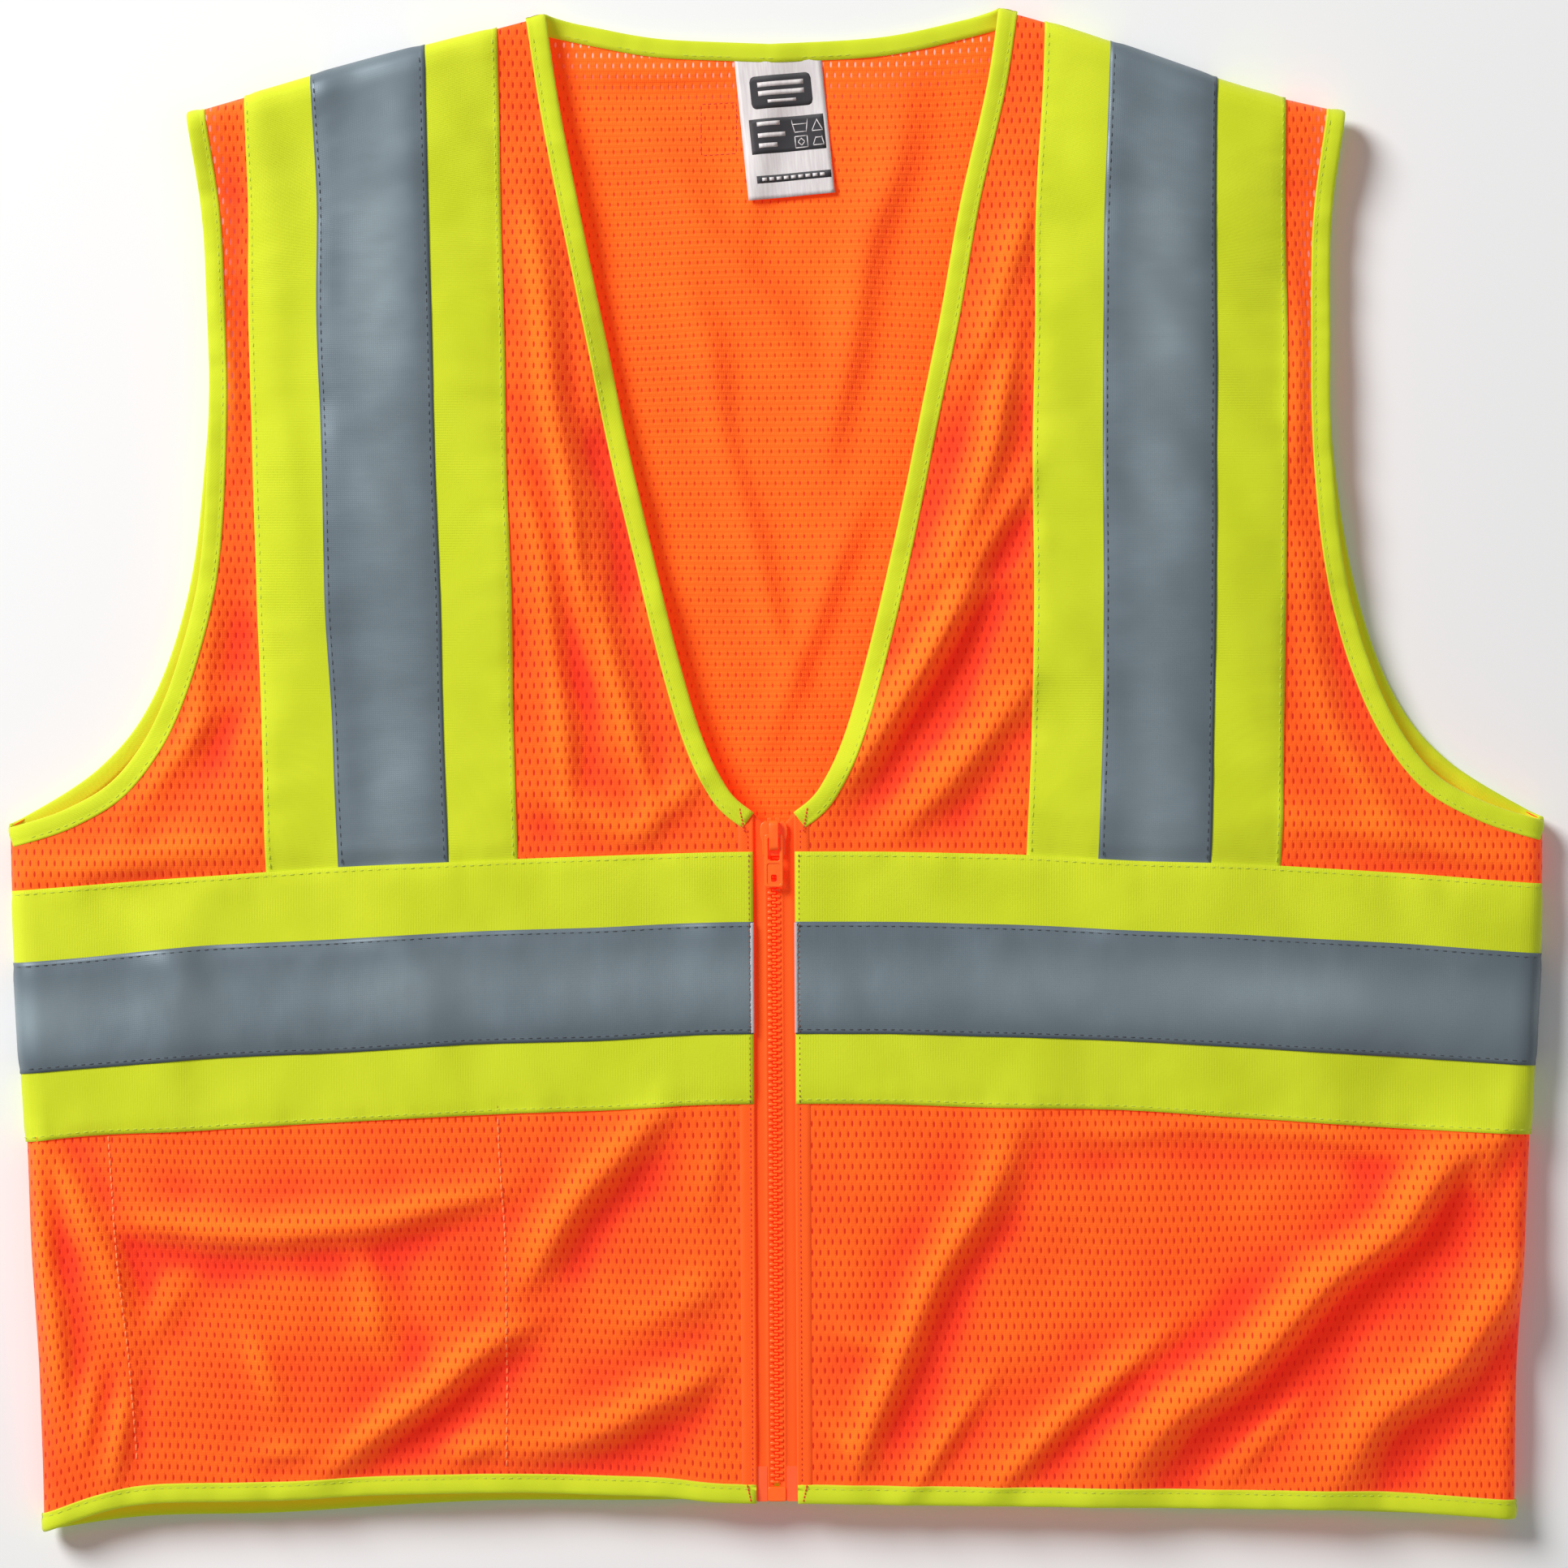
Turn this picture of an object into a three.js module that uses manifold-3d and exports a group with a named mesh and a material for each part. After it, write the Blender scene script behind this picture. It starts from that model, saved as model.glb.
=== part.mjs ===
// High visibility vest, zipped up and lying flat on its back.
// Millimetres. +X is the wearer's left, +Y points to the collar and +Z is up, away from the back.
// Every cloth piece is cut from shells around one flattened body form, so the layers follow one another
// round the side seams and over the shoulders with a constant clearance.
import * as THREE from "three";
import { mergeVertices } from "three/addons/utils/BufferGeometryUtils.js";
import Module from "manifold-3d";

const wasm = await Module();
wasm.setup();

// ---- Driving dimensions -------------------------------------------------------------------------

// Body outline
const HALF_WIDTH = 346.5; // centre line to side seam at the chest
const HEM_HALF_WIDTH = 338; // centre line to side seam at the hem
const CHEST_Y = -60; // height at which the sides start to taper to the hem
const SHOULDER_NECK = [103, 344.4]; // neck end of the shoulder seam
const SHOULDER_ARM = [264, 301.5]; // arm end of the shoulder seam
const HEM_Y = -333.5; // hem edge on the centre line
const SWEEP_RADIUS = 4100; // radius of the hem and of the waist tape, which drop towards the sides

// Cloth and clearances
const CLEARANCE = 0.3; // between cloth layers, and across a seam
const BODY_GAP = 14.8; // between the inner faces of the front and the back
const MESH_THICK = 0.8; // knitted mesh panel
const TAPE_THICK = 0.5; // contrast tape and edge binding
const SILVER_THICK = 0.4; // reflective tape
const BINDING_WIDTH = 8;
const ROUND_STEPS = 3; // facets in each quarter round of the side and shoulder folds

// Tapes
const CONTRAST_WIDTH = 114.3; // 4.5 in
const SILVER_WIDTH = 50.8; // 2 in
const WAIST_Y = -96.2; // centre line of the waist tape at the zip
const BRACE_LOW = [172.5, -40]; // brace centre line, low end
const BRACE_HIGH = [180.3, 320]; // brace centre line, high end

// Front opening
const FRONT_GAP = 9.5; // centre line to the edge of each front
const FOLD_X = 100; // each front turns back about this line
const FOLD_TOP = 205; // the part of each front above this height stays with the body

// Zip
const ZIP_TAPE_HALF = 16;
const ZIP_TAPE_THICK = 0.5;
const ZIP_TOP = -22;
const TEETH_HALF = 2.95; // half the width of the closed chain
const TEETH_THICK = 2.6;
const TOOTH_PITCH = 2.9;
const TOOTH_LENGTH = 1.4;
const TOOTH_ROOT = 0.75; // solid bead that the teeth stand on
const STOP_LENGTH = 2.8;
const BOX_SIZE = [8.2, 6.6]; // retainer box across and along the zip
const PIN_WIDTH = 1.4;
const FILM_LENGTH = 16; // clear reinforcing film at the bottom of the zip tape
const FILM_THICK = 0.2;

// Slider and pull
const POST_WIDTH = 0.8; // wedge between the two rows of teeth
const SLIDER_LENGTH = 16;
const SLIDER_TOP = -25; // upper end of the slider when the zip is closed
const SLIDER_HALF = 6.15; // half width at the shoulders
const SLIDER_TAIL_HALF = 5.2; // half width at the lower end
const PLATE_THICK = 1.2;
const FLANGE_WIDTH = 1.5;
const BRIDGE_WIDTH = 4.2;
const BRIDGE_LENGTH = 13.7;
const BRIDGE_THICK = 1.1;
const PULL_WIDTH = 8.3;
const PULL_LENGTH = 24;
const PULL_THICK = 1.5;
const PULL_WINDOW = [5.2, 10.5]; // window round the bridge
const PULL_BAR = 1.6; // bar that passes under the bridge
const PULL_SLOT = [2.6, 3.2]; // small window near the free end

// Pocket and label
const POCKET_LEFT = -309;
const POCKET_RIGHT = -124;
const POCKET_TOP = -125;
const POCKET_DEPTH = 5.4; // free space between the pocket cloth and the front
const LABEL_SIZE = [39.5, 60];
const LABEL_THICK = 0.4;
const LABEL_X = 6.8;
const LABEL_TURN = THREE.MathUtils.degToRad(4.6);

// Curved edges, on the wearer's left; the right side mirrors them. Each is a spline through its points.
const V_EDGE = [SHOULDER_NECK, [95, 293], [78, 204], [54, 92], [36, 22], [22, -10], [FRONT_GAP, -22]];
const FRONT_ARMHOLE = [SHOULDER_ARM, [256, 241], [253, 167], [258, 92], [273, 35], [294, -1], [320, -18],
  [352, -28]];
const BACK_ARMHOLE = [SHOULDER_ARM, [256, 241], [254, 167], [262, 92], [279, 35], [306, 0], [352, -28]];
const BACK_NECK = [[0, 331], [50, 334], [84, 340], SHOULDER_NECK];

// ---- Derived sizes ------------------------------------------------------------------------------

const PANEL_INNER = BODY_GAP / 2; // half heights of the shells, measured from the middle plane
const PANEL_OUTER = PANEL_INNER + MESH_THICK;
const TAPE_INNER = PANEL_OUTER + CLEARANCE;
const TAPE_OUTER = TAPE_INNER + TAPE_THICK;
const SILVER_INNER = TAPE_OUTER + CLEARANCE;
const SILVER_OUTER = SILVER_INNER + SILVER_THICK;
const LINING_OUTER = PANEL_INNER - CLEARANCE;
const LINING_INNER = LINING_OUTER - TAPE_THICK;

const FAR = 400; // beyond the vest on every side
const SEAM = CLEARANCE / 2; // half the gap left across a seam
const OVERLAP = 0.05; // how far two halves of one piece reach into each other before they are joined

const ZIP_Z = LINING_OUTER - ZIP_TAPE_THICK / 2; // middle of the zip tape and chain
const TEETH_LOW = ZIP_Z - TEETH_THICK / 2;
const TEETH_HIGH = ZIP_Z + TEETH_THICK / 2;
const TEETH_INNER = POST_WIDTH / 2 + CLEARANCE;
const ZIP_TAPE_EDGE = TEETH_HALF + CLEARANCE;
const CHAIN_TOP = SLIDER_TOP - CLEARANCE - STOP_LENGTH / 2;
const CHAIN_BOTTOM = HEM_Y + BOX_SIZE[1] + CLEARANCE;

// ---- Solids -------------------------------------------------------------------------------------

function toSolid(geometry) {
  geometry.deleteAttribute("normal");
  geometry.deleteAttribute("uv");
  const merged = mergeVertices(geometry, 1e-4);
  return new wasm.Manifold(
    new wasm.Mesh({
      numProp: 3,
      vertProperties: merged.attributes.position.array,
      triVerts: new Uint32Array(merged.index.array),
    }),
  );
}

function toGeometry(solid) {
  const { vertProperties, triVerts, numProp, numVert } = solid.getMesh();
  const position = new Float32Array(numVert * 3);
  for (let i = 0; i < numVert; i++) {
    position.set(vertProperties.subarray(i * numProp, i * numProp + 3), i * 3);
  }
  const geometry = new THREE.BufferGeometry();
  geometry.setAttribute("position", new THREE.BufferAttribute(position, 3));
  geometry.setIndex(new THREE.BufferAttribute(triVerts, 1));
  const faceted = geometry.toNonIndexed();
  faceted.computeVertexNormals();
  return faceted;
}

function toShape(points) {
  return new THREE.Shape(points.map(([x, y]) => new THREE.Vector2(x, y)));
}

// Upright prism over a closed outline, between two heights.
function prism(points, low, high) {
  const geometry = new THREE.ExtrudeGeometry(toShape(points), { depth: high - low, bevelEnabled: false });
  return toSolid(geometry.translate(0, 0, low));
}

function block(x0, x1, y0, y1, z0, z1) {
  const geometry = new THREE.BoxGeometry(x1 - x0, y1 - y0, z1 - z0);
  return toSolid(geometry.translate((x0 + x1) / 2, (y0 + y1) / 2, (z0 + z1) / 2));
}

function mirrored(points) {
  return points.map(([x, y]) => [-x, y]);
}

function sided(side, points) {
  return side > 0 ? points : mirrored(points);
}

function sideBlock(side, x0, x1, y0, y1, z0, z1) {
  return side > 0 ? block(x0, x1, y0, y1, z0, z1) : block(-x1, -x0, y0, y1, z0, z1);
}

// ---- Lines in plan ------------------------------------------------------------------------------

function spline(points, steps) {
  const curve = new THREE.SplineCurve(points.map(([x, y]) => new THREE.Vector2(x, y)));
  return curve.getPoints(steps).map((p) => [p.x, p.y]);
}

// The line moved sideways by a distance, to its left for a positive one.
function offsetLine(line, distance) {
  return line.map(([x, y], i) => {
    const before = line[Math.max(i - 1, 0)];
    const after = line[Math.min(i + 1, line.length - 1)];
    const length = Math.hypot(after[0] - before[0], after[1] - before[1]);
    return [
      x - ((after[1] - before[1]) / length) * distance,
      y + ((after[0] - before[0]) / length) * distance,
    ];
  });
}

function lineStrip(line, near, far) {
  return [...offsetLine(line, near), ...offsetLine(line, far).reverse()];
}

// A line across the vest, from one x to another, that drops towards the sides.
function sweep(y, from, to) {
  const steps = 12;
  return Array.from({ length: steps + 1 }, (_, i) => {
    const x = from + ((to - from) * i) / steps;
    return [x, y - (x * x) / (2 * SWEEP_RADIUS)];
  });
}

function sweepStrip(low, high, from, to) {
  return [...sweep(low, from, to), ...sweep(high, from, to).reverse()];
}

const shoulderSlope = (SHOULDER_ARM[1] - SHOULDER_NECK[1]) / (SHOULDER_ARM[0] - SHOULDER_NECK[0]);

function shoulderY(x) {
  return SHOULDER_NECK[1] + (x - SHOULDER_NECK[0]) * shoulderSlope;
}

const vEdge = spline(V_EDGE, 16);
const frontArmhole = spline(FRONT_ARMHOLE, 18);
const backArmhole = spline(BACK_ARMHOLE, 18);
const backNeckHalf = spline(BACK_NECK, 8);
const backNeck = [...mirrored(backNeckHalf).reverse(), ...backNeckHalf.slice(1)];

// ---- Shells of the body form --------------------------------------------------------------------

// The whole flattened body as one solid of the given half height, with round sides and shoulders.
function bodyForm(halfHeight) {
  const outline = [
    [HEM_HALF_WIDTH - 2, -FAR],
    [HEM_HALF_WIDTH, HEM_Y],
    [HALF_WIDTH, CHEST_Y],
    [HALF_WIDTH, shoulderY(HALF_WIDTH)],
    [0, shoulderY(0)],
  ];
  const depth = 0.02;
  const geometry = new THREE.ExtrudeGeometry(
    toShape([...outline, ...mirrored(outline.slice(0, -1)).reverse()]),
    {
      depth,
      bevelThickness: halfHeight,
      bevelSize: halfHeight,
      bevelOffset: -PANEL_OUTER,
      bevelSegments: ROUND_STEPS,
    },
  );
  return toSolid(geometry.translate(0, 0, -depth / 2));
}

function shell(inner, outer) {
  return bodyForm(outer).subtract(bodyForm(inner));
}

const panelShell = shell(PANEL_INNER, PANEL_OUTER);
const tapeShell = shell(TAPE_INNER, TAPE_OUTER);
const silverShell = shell(SILVER_INNER, SILVER_OUTER);
const bindingShell = shell(LINING_INNER, TAPE_OUTER);
const bindingHollow = shell(LINING_OUTER, TAPE_INNER);

function inFront(outline, gap = SEAM) {
  return prism(outline, gap, FAR);
}

function inBack(outline, gap = SEAM) {
  return prism(outline, -FAR, -gap);
}

// ---- Panels -------------------------------------------------------------------------------------

const hemHalf = (from) => sweep(HEM_Y, from, FAR);

function frontOutline(side) {
  return sided(side, [
    ...hemHalf(FRONT_GAP),
    ...[...frontArmhole].reverse(),
    [SHOULDER_ARM[0], FAR],
    [SHOULDER_NECK[0], FAR],
    ...vEdge,
  ]);
}

function backOutline() {
  const armhole = [...backArmhole].reverse();
  return [
    ...sweep(HEM_Y, -FAR, FAR),
    ...armhole,
    [SHOULDER_ARM[0], FAR],
    [SHOULDER_NECK[0], FAR],
    ...[...backNeck].reverse(),
    [-SHOULDER_NECK[0], FAR],
    [-SHOULDER_ARM[0], FAR],
    ...mirrored(armhole).reverse(),
  ];
}

// The region of one front that turns back, less or more the gap along the fold.
function flapRegion(side, gap) {
  return sideBlock(side, -1, FOLD_X + gap, -FAR, FOLD_TOP + gap, 0, FAR);
}

function sidePart(side, solid) {
  return solid.subtract(flapRegion(side, SEAM));
}

function flapPart(side, solid) {
  return solid.intersect(flapRegion(side, -SEAM));
}

function frontPanel(side) {
  return panelShell.intersect(inFront(frontOutline(side)));
}

function backPanel() {
  return panelShell.intersect(inBack(backOutline()));
}

// ---- Edge bindings ------------------------------------------------------------------------------

// A folded strip that grips an edge: two legs and a web, open towards the cloth. The two strips in
// plan are that of the whole binding and that of the cloth inside it.
function foldedBinding(whole, inside) {
  return bindingShell.intersect(whole).subtract(bindingHollow.intersect(inside));
}

const WEB = CLEARANCE + TAPE_THICK;

// Strips along an edge line whose cloth lies to its left, in plan.
const wholeStrip = (line) => lineStrip(line, BINDING_WIDTH, -WEB);
const insideStrip = (line) => lineStrip(line, BINDING_WIDTH + 1, -CLEARANCE);

// Each line is carried on past the vest, so that its strip crosses the fold it ends at.
function extended(line, point) {
  return [point, ...line];
}

const vLine = extended(vEdge, [SHOULDER_NECK[0] + 2, SHOULDER_NECK[1] + 12]);
const frontArmLine = extended(frontArmhole, [SHOULDER_ARM[0] + 2, SHOULDER_ARM[1] + 14]).reverse();
const backArmLine = extended(backArmhole, [SHOULDER_ARM[0] + 2, SHOULDER_ARM[1] + 14]).reverse();
const neckLine = [
  [-SHOULDER_NECK[0] - 2, SHOULDER_NECK[1] + 12],
  ...backNeck,
  [SHOULDER_NECK[0] + 2, SHOULDER_NECK[1] + 12],
].reverse();

function vBinding(side) {
  const solid = foldedBinding(
    inFront(sided(side, wholeStrip(vLine)), -OVERLAP),
    inFront(sided(side, insideStrip(vLine)), -OVERLAP * 2),
  );
  return solid.subtract(block(-FRONT_GAP, FRONT_GAP, -FAR, FAR, 0, FAR));
}

function neckBinding() {
  const back = foldedBinding(
    inBack(wholeStrip(neckLine), -OVERLAP),
    inBack(insideStrip(neckLine), -OVERLAP * 2),
  );
  return [1, -1].reduce((solid, side) => solid.add(sidePart(side, vBinding(side))), back);
}

function armholeBinding(side) {
  const front = foldedBinding(
    inFront(sided(side, wholeStrip(frontArmLine)), -OVERLAP),
    inFront(sided(side, insideStrip(frontArmLine)), -OVERLAP * 2),
  );
  const back = foldedBinding(
    inBack(sided(side, wholeStrip(backArmLine)), -OVERLAP),
    inBack(sided(side, insideStrip(backArmLine)), -OVERLAP * 2),
  );
  return front.add(back);
}

function hemBinding() {
  const whole = sweepStrip(HEM_Y - WEB, HEM_Y + BINDING_WIDTH, -FAR, FAR);
  const inside = sweepStrip(HEM_Y - CLEARANCE, HEM_Y + BINDING_WIDTH + 1, -FAR, FAR);
  return foldedBinding(prism(whole, -FAR, FAR), prism(inside, -FAR, FAR));
}

function frontHemBinding(side) {
  const front = sideBlock(side, FRONT_GAP, FAR, -FAR, FAR, 0, FAR);
  return flapPart(side, hemBinding().intersect(front));
}

function bodyHemBinding() {
  const opening = block(-FOLD_X - SEAM, FOLD_X + SEAM, -FAR, FAR, 0, FAR);
  return hemBinding().subtract(opening);
}

// ---- Tapes --------------------------------------------------------------------------------------

function waistStrip(width, from, to) {
  return sweepStrip(WAIST_Y - width / 2, WAIST_Y + width / 2, from, to);
}

function frontWaist(side, cloth, width) {
  return cloth.intersect(inFront(sided(side, waistStrip(width, FRONT_GAP, FAR))));
}

function backWaist(cloth, width) {
  return cloth.intersect(inBack(waistStrip(width, -FAR, FAR)));
}

// The brace runs from just above the waist tape to beyond the shoulder.
function braceStrip(side, width) {
  const lean = (BRACE_HIGH[0] - BRACE_LOW[0]) / (BRACE_HIGH[1] - BRACE_LOW[1]);
  const at = (y) => BRACE_LOW[0] + (y - BRACE_LOW[1]) * lean;
  const foot = WAIST_Y + CONTRAST_WIDTH / 2 + CLEARANCE;
  const left = at(foot) - width / 2;
  const right = at(foot) + width / 2;
  return sided(side, [
    ...sweep(foot, left, right),
    [at(FAR) + width / 2, FAR],
    [at(FAR) - width / 2, FAR],
  ]);
}

function brace(side, cloth, width, half) {
  return cloth.intersect(half(braceStrip(side, width)));
}

// ---- Pocket and label ---------------------------------------------------------------------------

// Inside the wearer's right front: a cloth sewn along its sides and foot, open at the top.
function pocket() {
  const foot = HEM_Y + BINDING_WIDTH + CLEARANCE + 2;
  const floor = PANEL_INNER - POCKET_DEPTH;
  const outer = block(POCKET_LEFT, POCKET_RIGHT, foot, POCKET_TOP, floor - MESH_THICK, LINING_OUTER);
  const inner = block(
    POCKET_LEFT + MESH_THICK,
    POCKET_RIGHT - MESH_THICK,
    foot + MESH_THICK,
    POCKET_TOP + 1,
    floor,
    LINING_OUTER + 1,
  );
  return outer.subtract(inner);
}

function label() {
  const [width, length] = LABEL_SIZE;
  const rise = (Math.sin(LABEL_TURN) * width + Math.cos(LABEL_TURN) * length) / 2;
  const geometry = new THREE.BoxGeometry(width, length, LABEL_THICK);
  geometry.rotateZ(LABEL_TURN);
  const y = BACK_NECK[0][1] - BINDING_WIDTH - 2 * CLEARANCE - rise;
  return toSolid(geometry.translate(LABEL_X, y, -PANEL_INNER + CLEARANCE + LABEL_THICK / 2));
}

// ---- Zip ----------------------------------------------------------------------------------------

function zipTape(side) {
  const outer = ZIP_TAPE_HALF;
  const under = FRONT_GAP - CLEARANCE;
  const top = ZIP_TOP - BINDING_WIDTH - 3 * CLEARANCE;
  const foot = HEM_Y + BINDING_WIDTH + CLEARANCE;
  const outline = [
    [ZIP_TAPE_EDGE, HEM_Y],
    [under, HEM_Y],
    [under, foot],
    [outer, foot],
    [outer, top],
    [under, top],
    [under, ZIP_TOP],
    [ZIP_TAPE_EDGE, ZIP_TOP],
  ];
  return prism(sided(side, outline), ZIP_Z - ZIP_TAPE_THICK / 2, ZIP_Z + ZIP_TAPE_THICK / 2);
}

function teeth(side) {
  const root = TEETH_HALF - TOOTH_ROOT;
  const top = CHAIN_TOP - (side > 0 ? TOOTH_PITCH / 2 : 0);
  const count = Math.floor((top - CHAIN_BOTTOM) / TOOTH_PITCH);
  const comb = [
    [TEETH_HALF, CHAIN_TOP],
    [root, CHAIN_TOP],
  ];
  for (let i = 0; i < count; i++) {
    const y = top - TOOTH_PITCH * (i + 0.5);
    comb.push([root, y + TOOTH_LENGTH / 2]);
    comb.push([TEETH_INNER, y + TOOTH_LENGTH / 2]);
    comb.push([TEETH_INNER, y - TOOTH_LENGTH / 2]);
    comb.push([root, y - TOOTH_LENGTH / 2]);
  }
  comb.push([root, CHAIN_BOTTOM]);
  comb.push([TEETH_HALF, CHAIN_BOTTOM]);
  return prism(sided(side, comb), TEETH_LOW, TEETH_HIGH);
}

function topStop(side) {
  const low = CHAIN_TOP + CLEARANCE;
  return sideBlock(side, TEETH_INNER, TEETH_HALF, low, low + STOP_LENGTH, TEETH_LOW, TEETH_HIGH);
}

function film(side) {
  const z = ZIP_Z + ZIP_TAPE_THICK / 2 + CLEARANCE;
  const x0 = Math.max(ZIP_TAPE_EDGE, BOX_SIZE[0] / 2 + CLEARANCE);
  return sideBlock(side, x0, FRONT_GAP - CLEARANCE, HEM_Y, HEM_Y + FILM_LENGTH, z, z + FILM_THICK);
}

const pinLeft = TEETH_INNER;

// The box holds the pin of the other side in a socket that is open upwards, along the zip. A slot in
// each end leaves room for the zip tapes.
function retainerBox() {
  const [width, length] = BOX_SIZE;
  const top = HEM_Y + length;
  const body = block(-width / 2, width / 2, HEM_Y, top, TEETH_LOW, TEETH_HIGH);
  const socket = block(
    pinLeft - CLEARANCE,
    pinLeft + PIN_WIDTH + CLEARANCE,
    HEM_Y + 2,
    top + 1,
    ZIP_Z - PIN_WIDTH / 2 - CLEARANCE,
    ZIP_Z + PIN_WIDTH / 2 + CLEARANCE,
  );
  const tapeRoom = [1, -1].map((side) =>
    sideBlock(
      side,
      TEETH_HALF,
      FAR,
      -FAR,
      FAR,
      ZIP_Z - ZIP_TAPE_THICK / 2 - CLEARANCE,
      ZIP_Z + ZIP_TAPE_THICK / 2 + CLEARANCE,
    ),
  );
  return body.subtract(socket).subtract(tapeRoom[0]).subtract(tapeRoom[1]);
}

function insertionPin() {
  const low = HEM_Y + 2 + CLEARANCE;
  const top = CHAIN_BOTTOM - CLEARANCE;
  const half = PIN_WIDTH / 2;
  return block(pinLeft, pinLeft + PIN_WIDTH, low, top, ZIP_Z - half, ZIP_Z + half);
}

// ---- Slider and pull ----------------------------------------------------------------------------

const topPlateLow = TEETH_HIGH + CLEARANCE;
const topPlateHigh = topPlateLow + PLATE_THICK;
const bottomPlateHigh = TEETH_LOW - CLEARANCE;
const bridgeTop = SLIDER_TOP;
const pullReach = Math.hypot(PULL_BAR, PULL_THICK) / 2; // corner of the bar as it turns
const pullAxisZ = topPlateHigh + pullReach + CLEARANCE;
const pullLow = pullAxisZ - PULL_THICK / 2;
const bridgeLow = pullAxisZ + pullReach + CLEARANCE;
const pullAxisY = bridgeTop - BRIDGE_LENGTH / 2;

function sliderOutline() {
  const low = SLIDER_TOP - SLIDER_LENGTH;
  const right = [
    [SLIDER_TAIL_HALF - 1, low],
    [SLIDER_TAIL_HALF, low + 1],
    [SLIDER_TAIL_HALF, low + SLIDER_LENGTH * 0.4],
    [SLIDER_HALF, low + SLIDER_LENGTH * 0.62],
    [SLIDER_HALF, SLIDER_TOP - 2.5],
    [SLIDER_HALF - 2.2, SLIDER_TOP],
  ];
  return [...right, ...mirrored(right).reverse()];
}

function slider() {
  const outline = sliderOutline();
  const tapeHalf = ZIP_TAPE_THICK / 2 + CLEARANCE;
  const filmRoom = FILM_THICK + CLEARANCE;
  const whole = prism(outline, bottomPlateHigh - PLATE_THICK, topPlateHigh);
  const channelHalf = SLIDER_TAIL_HALF - FLANGE_WIDTH;
  const channel = block(-channelHalf, channelHalf, -FAR, FAR, bottomPlateHigh, topPlateLow);
  const tapeSlot = block(-FAR, FAR, -FAR, FAR, ZIP_Z - tapeHalf, ZIP_Z + tapeHalf + filmRoom);
  const post = block(
    -POST_WIDTH / 2,
    POST_WIDTH / 2,
    SLIDER_TOP - SLIDER_LENGTH / 4,
    SLIDER_TOP - 0.3,
    bottomPlateHigh - OVERLAP,
    topPlateLow + OVERLAP,
  );
  return whole.subtract(channel).subtract(tapeSlot).add(post).add(bridge());
}

// An arch along the zip, on top of the slider.
function bridge() {
  const foot = topPlateHigh - OVERLAP;
  const low = bridgeTop - BRIDGE_LENGTH;
  const half = BRIDGE_WIDTH / 2;
  const solid = block(-half, half, low, bridgeTop, foot, bridgeLow + BRIDGE_THICK);
  const arch = block(-FAR, FAR, low + BRIDGE_THICK, bridgeTop - BRIDGE_THICK, foot - 1, bridgeLow);
  return solid.subtract(arch.intersect(block(-FAR, FAR, -FAR, FAR, topPlateHigh, FAR)));
}

function pull() {
  const low = pullAxisY + PULL_BAR / 2 - PULL_LENGTH;
  const high = pullAxisY + PULL_BAR / 2;
  const half = PULL_WIDTH / 2;
  const corner = 1.6;
  const plate = prism(
    [
      [-half + corner, low],
      [half - corner, low],
      [half, low + corner],
      [half, high - corner / 2],
      [half - corner / 2, high],
      [-half + corner / 2, high],
      [-half, high - corner / 2],
      [-half, low + corner],
    ],
    pullLow,
    pullLow + PULL_THICK,
  );
  const [windowWidth, windowLength] = PULL_WINDOW;
  const [slotWidth, slotLength] = PULL_SLOT;
  const windowTop = high - PULL_BAR;
  const window = block(-windowWidth / 2, windowWidth / 2, windowTop - windowLength, windowTop, 0, FAR);
  const slot = block(-slotWidth / 2, slotWidth / 2, low + 2.4, low + 2.4 + slotLength, 0, FAR);
  return plate.subtract(window).subtract(slot);
}

// ---- Assembly -----------------------------------------------------------------------------------

const materials = {
  orangeMesh: { color: 0xf9632a, roughness: 0.85, metalness: 0 },
  limeTape: { color: 0xd4e32c, roughness: 0.8, metalness: 0 },
  silverTape: { color: 0x8a949c, roughness: 0.45, metalness: 0.3 },
  limeBinding: { color: 0xd8e63a, roughness: 0.85, metalness: 0 },
  zipCloth: { color: 0xf05a28, roughness: 0.8, metalness: 0 },
  zipPlastic: { color: 0xf2501e, roughness: 0.35, metalness: 0 },
  zipFilm: { color: 0xf6a07c, roughness: 0.2, metalness: 0 },
  labelSatin: { color: 0xe8dede, roughness: 0.5, metalness: 0 },
};

const vest = new THREE.Group();

function place(name, solid, material) {
  const mesh = new THREE.Mesh(toGeometry(solid), new THREE.MeshStandardMaterial(materials[material]));
  mesh.name = name;
  vest.add(mesh);
}

place("back_panel", backPanel(), "orangeMesh");
place("neck_binding", neckBinding(), "limeBinding");
place("hem_binding", bodyHemBinding(), "limeBinding");
place("back_waist_tape", backWaist(tapeShell, CONTRAST_WIDTH), "limeTape");
place("back_waist_silver", backWaist(silverShell, SILVER_WIDTH), "silverTape");
place("pocket", pocket(), "orangeMesh");
place("neck_label", label(), "labelSatin");

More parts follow.
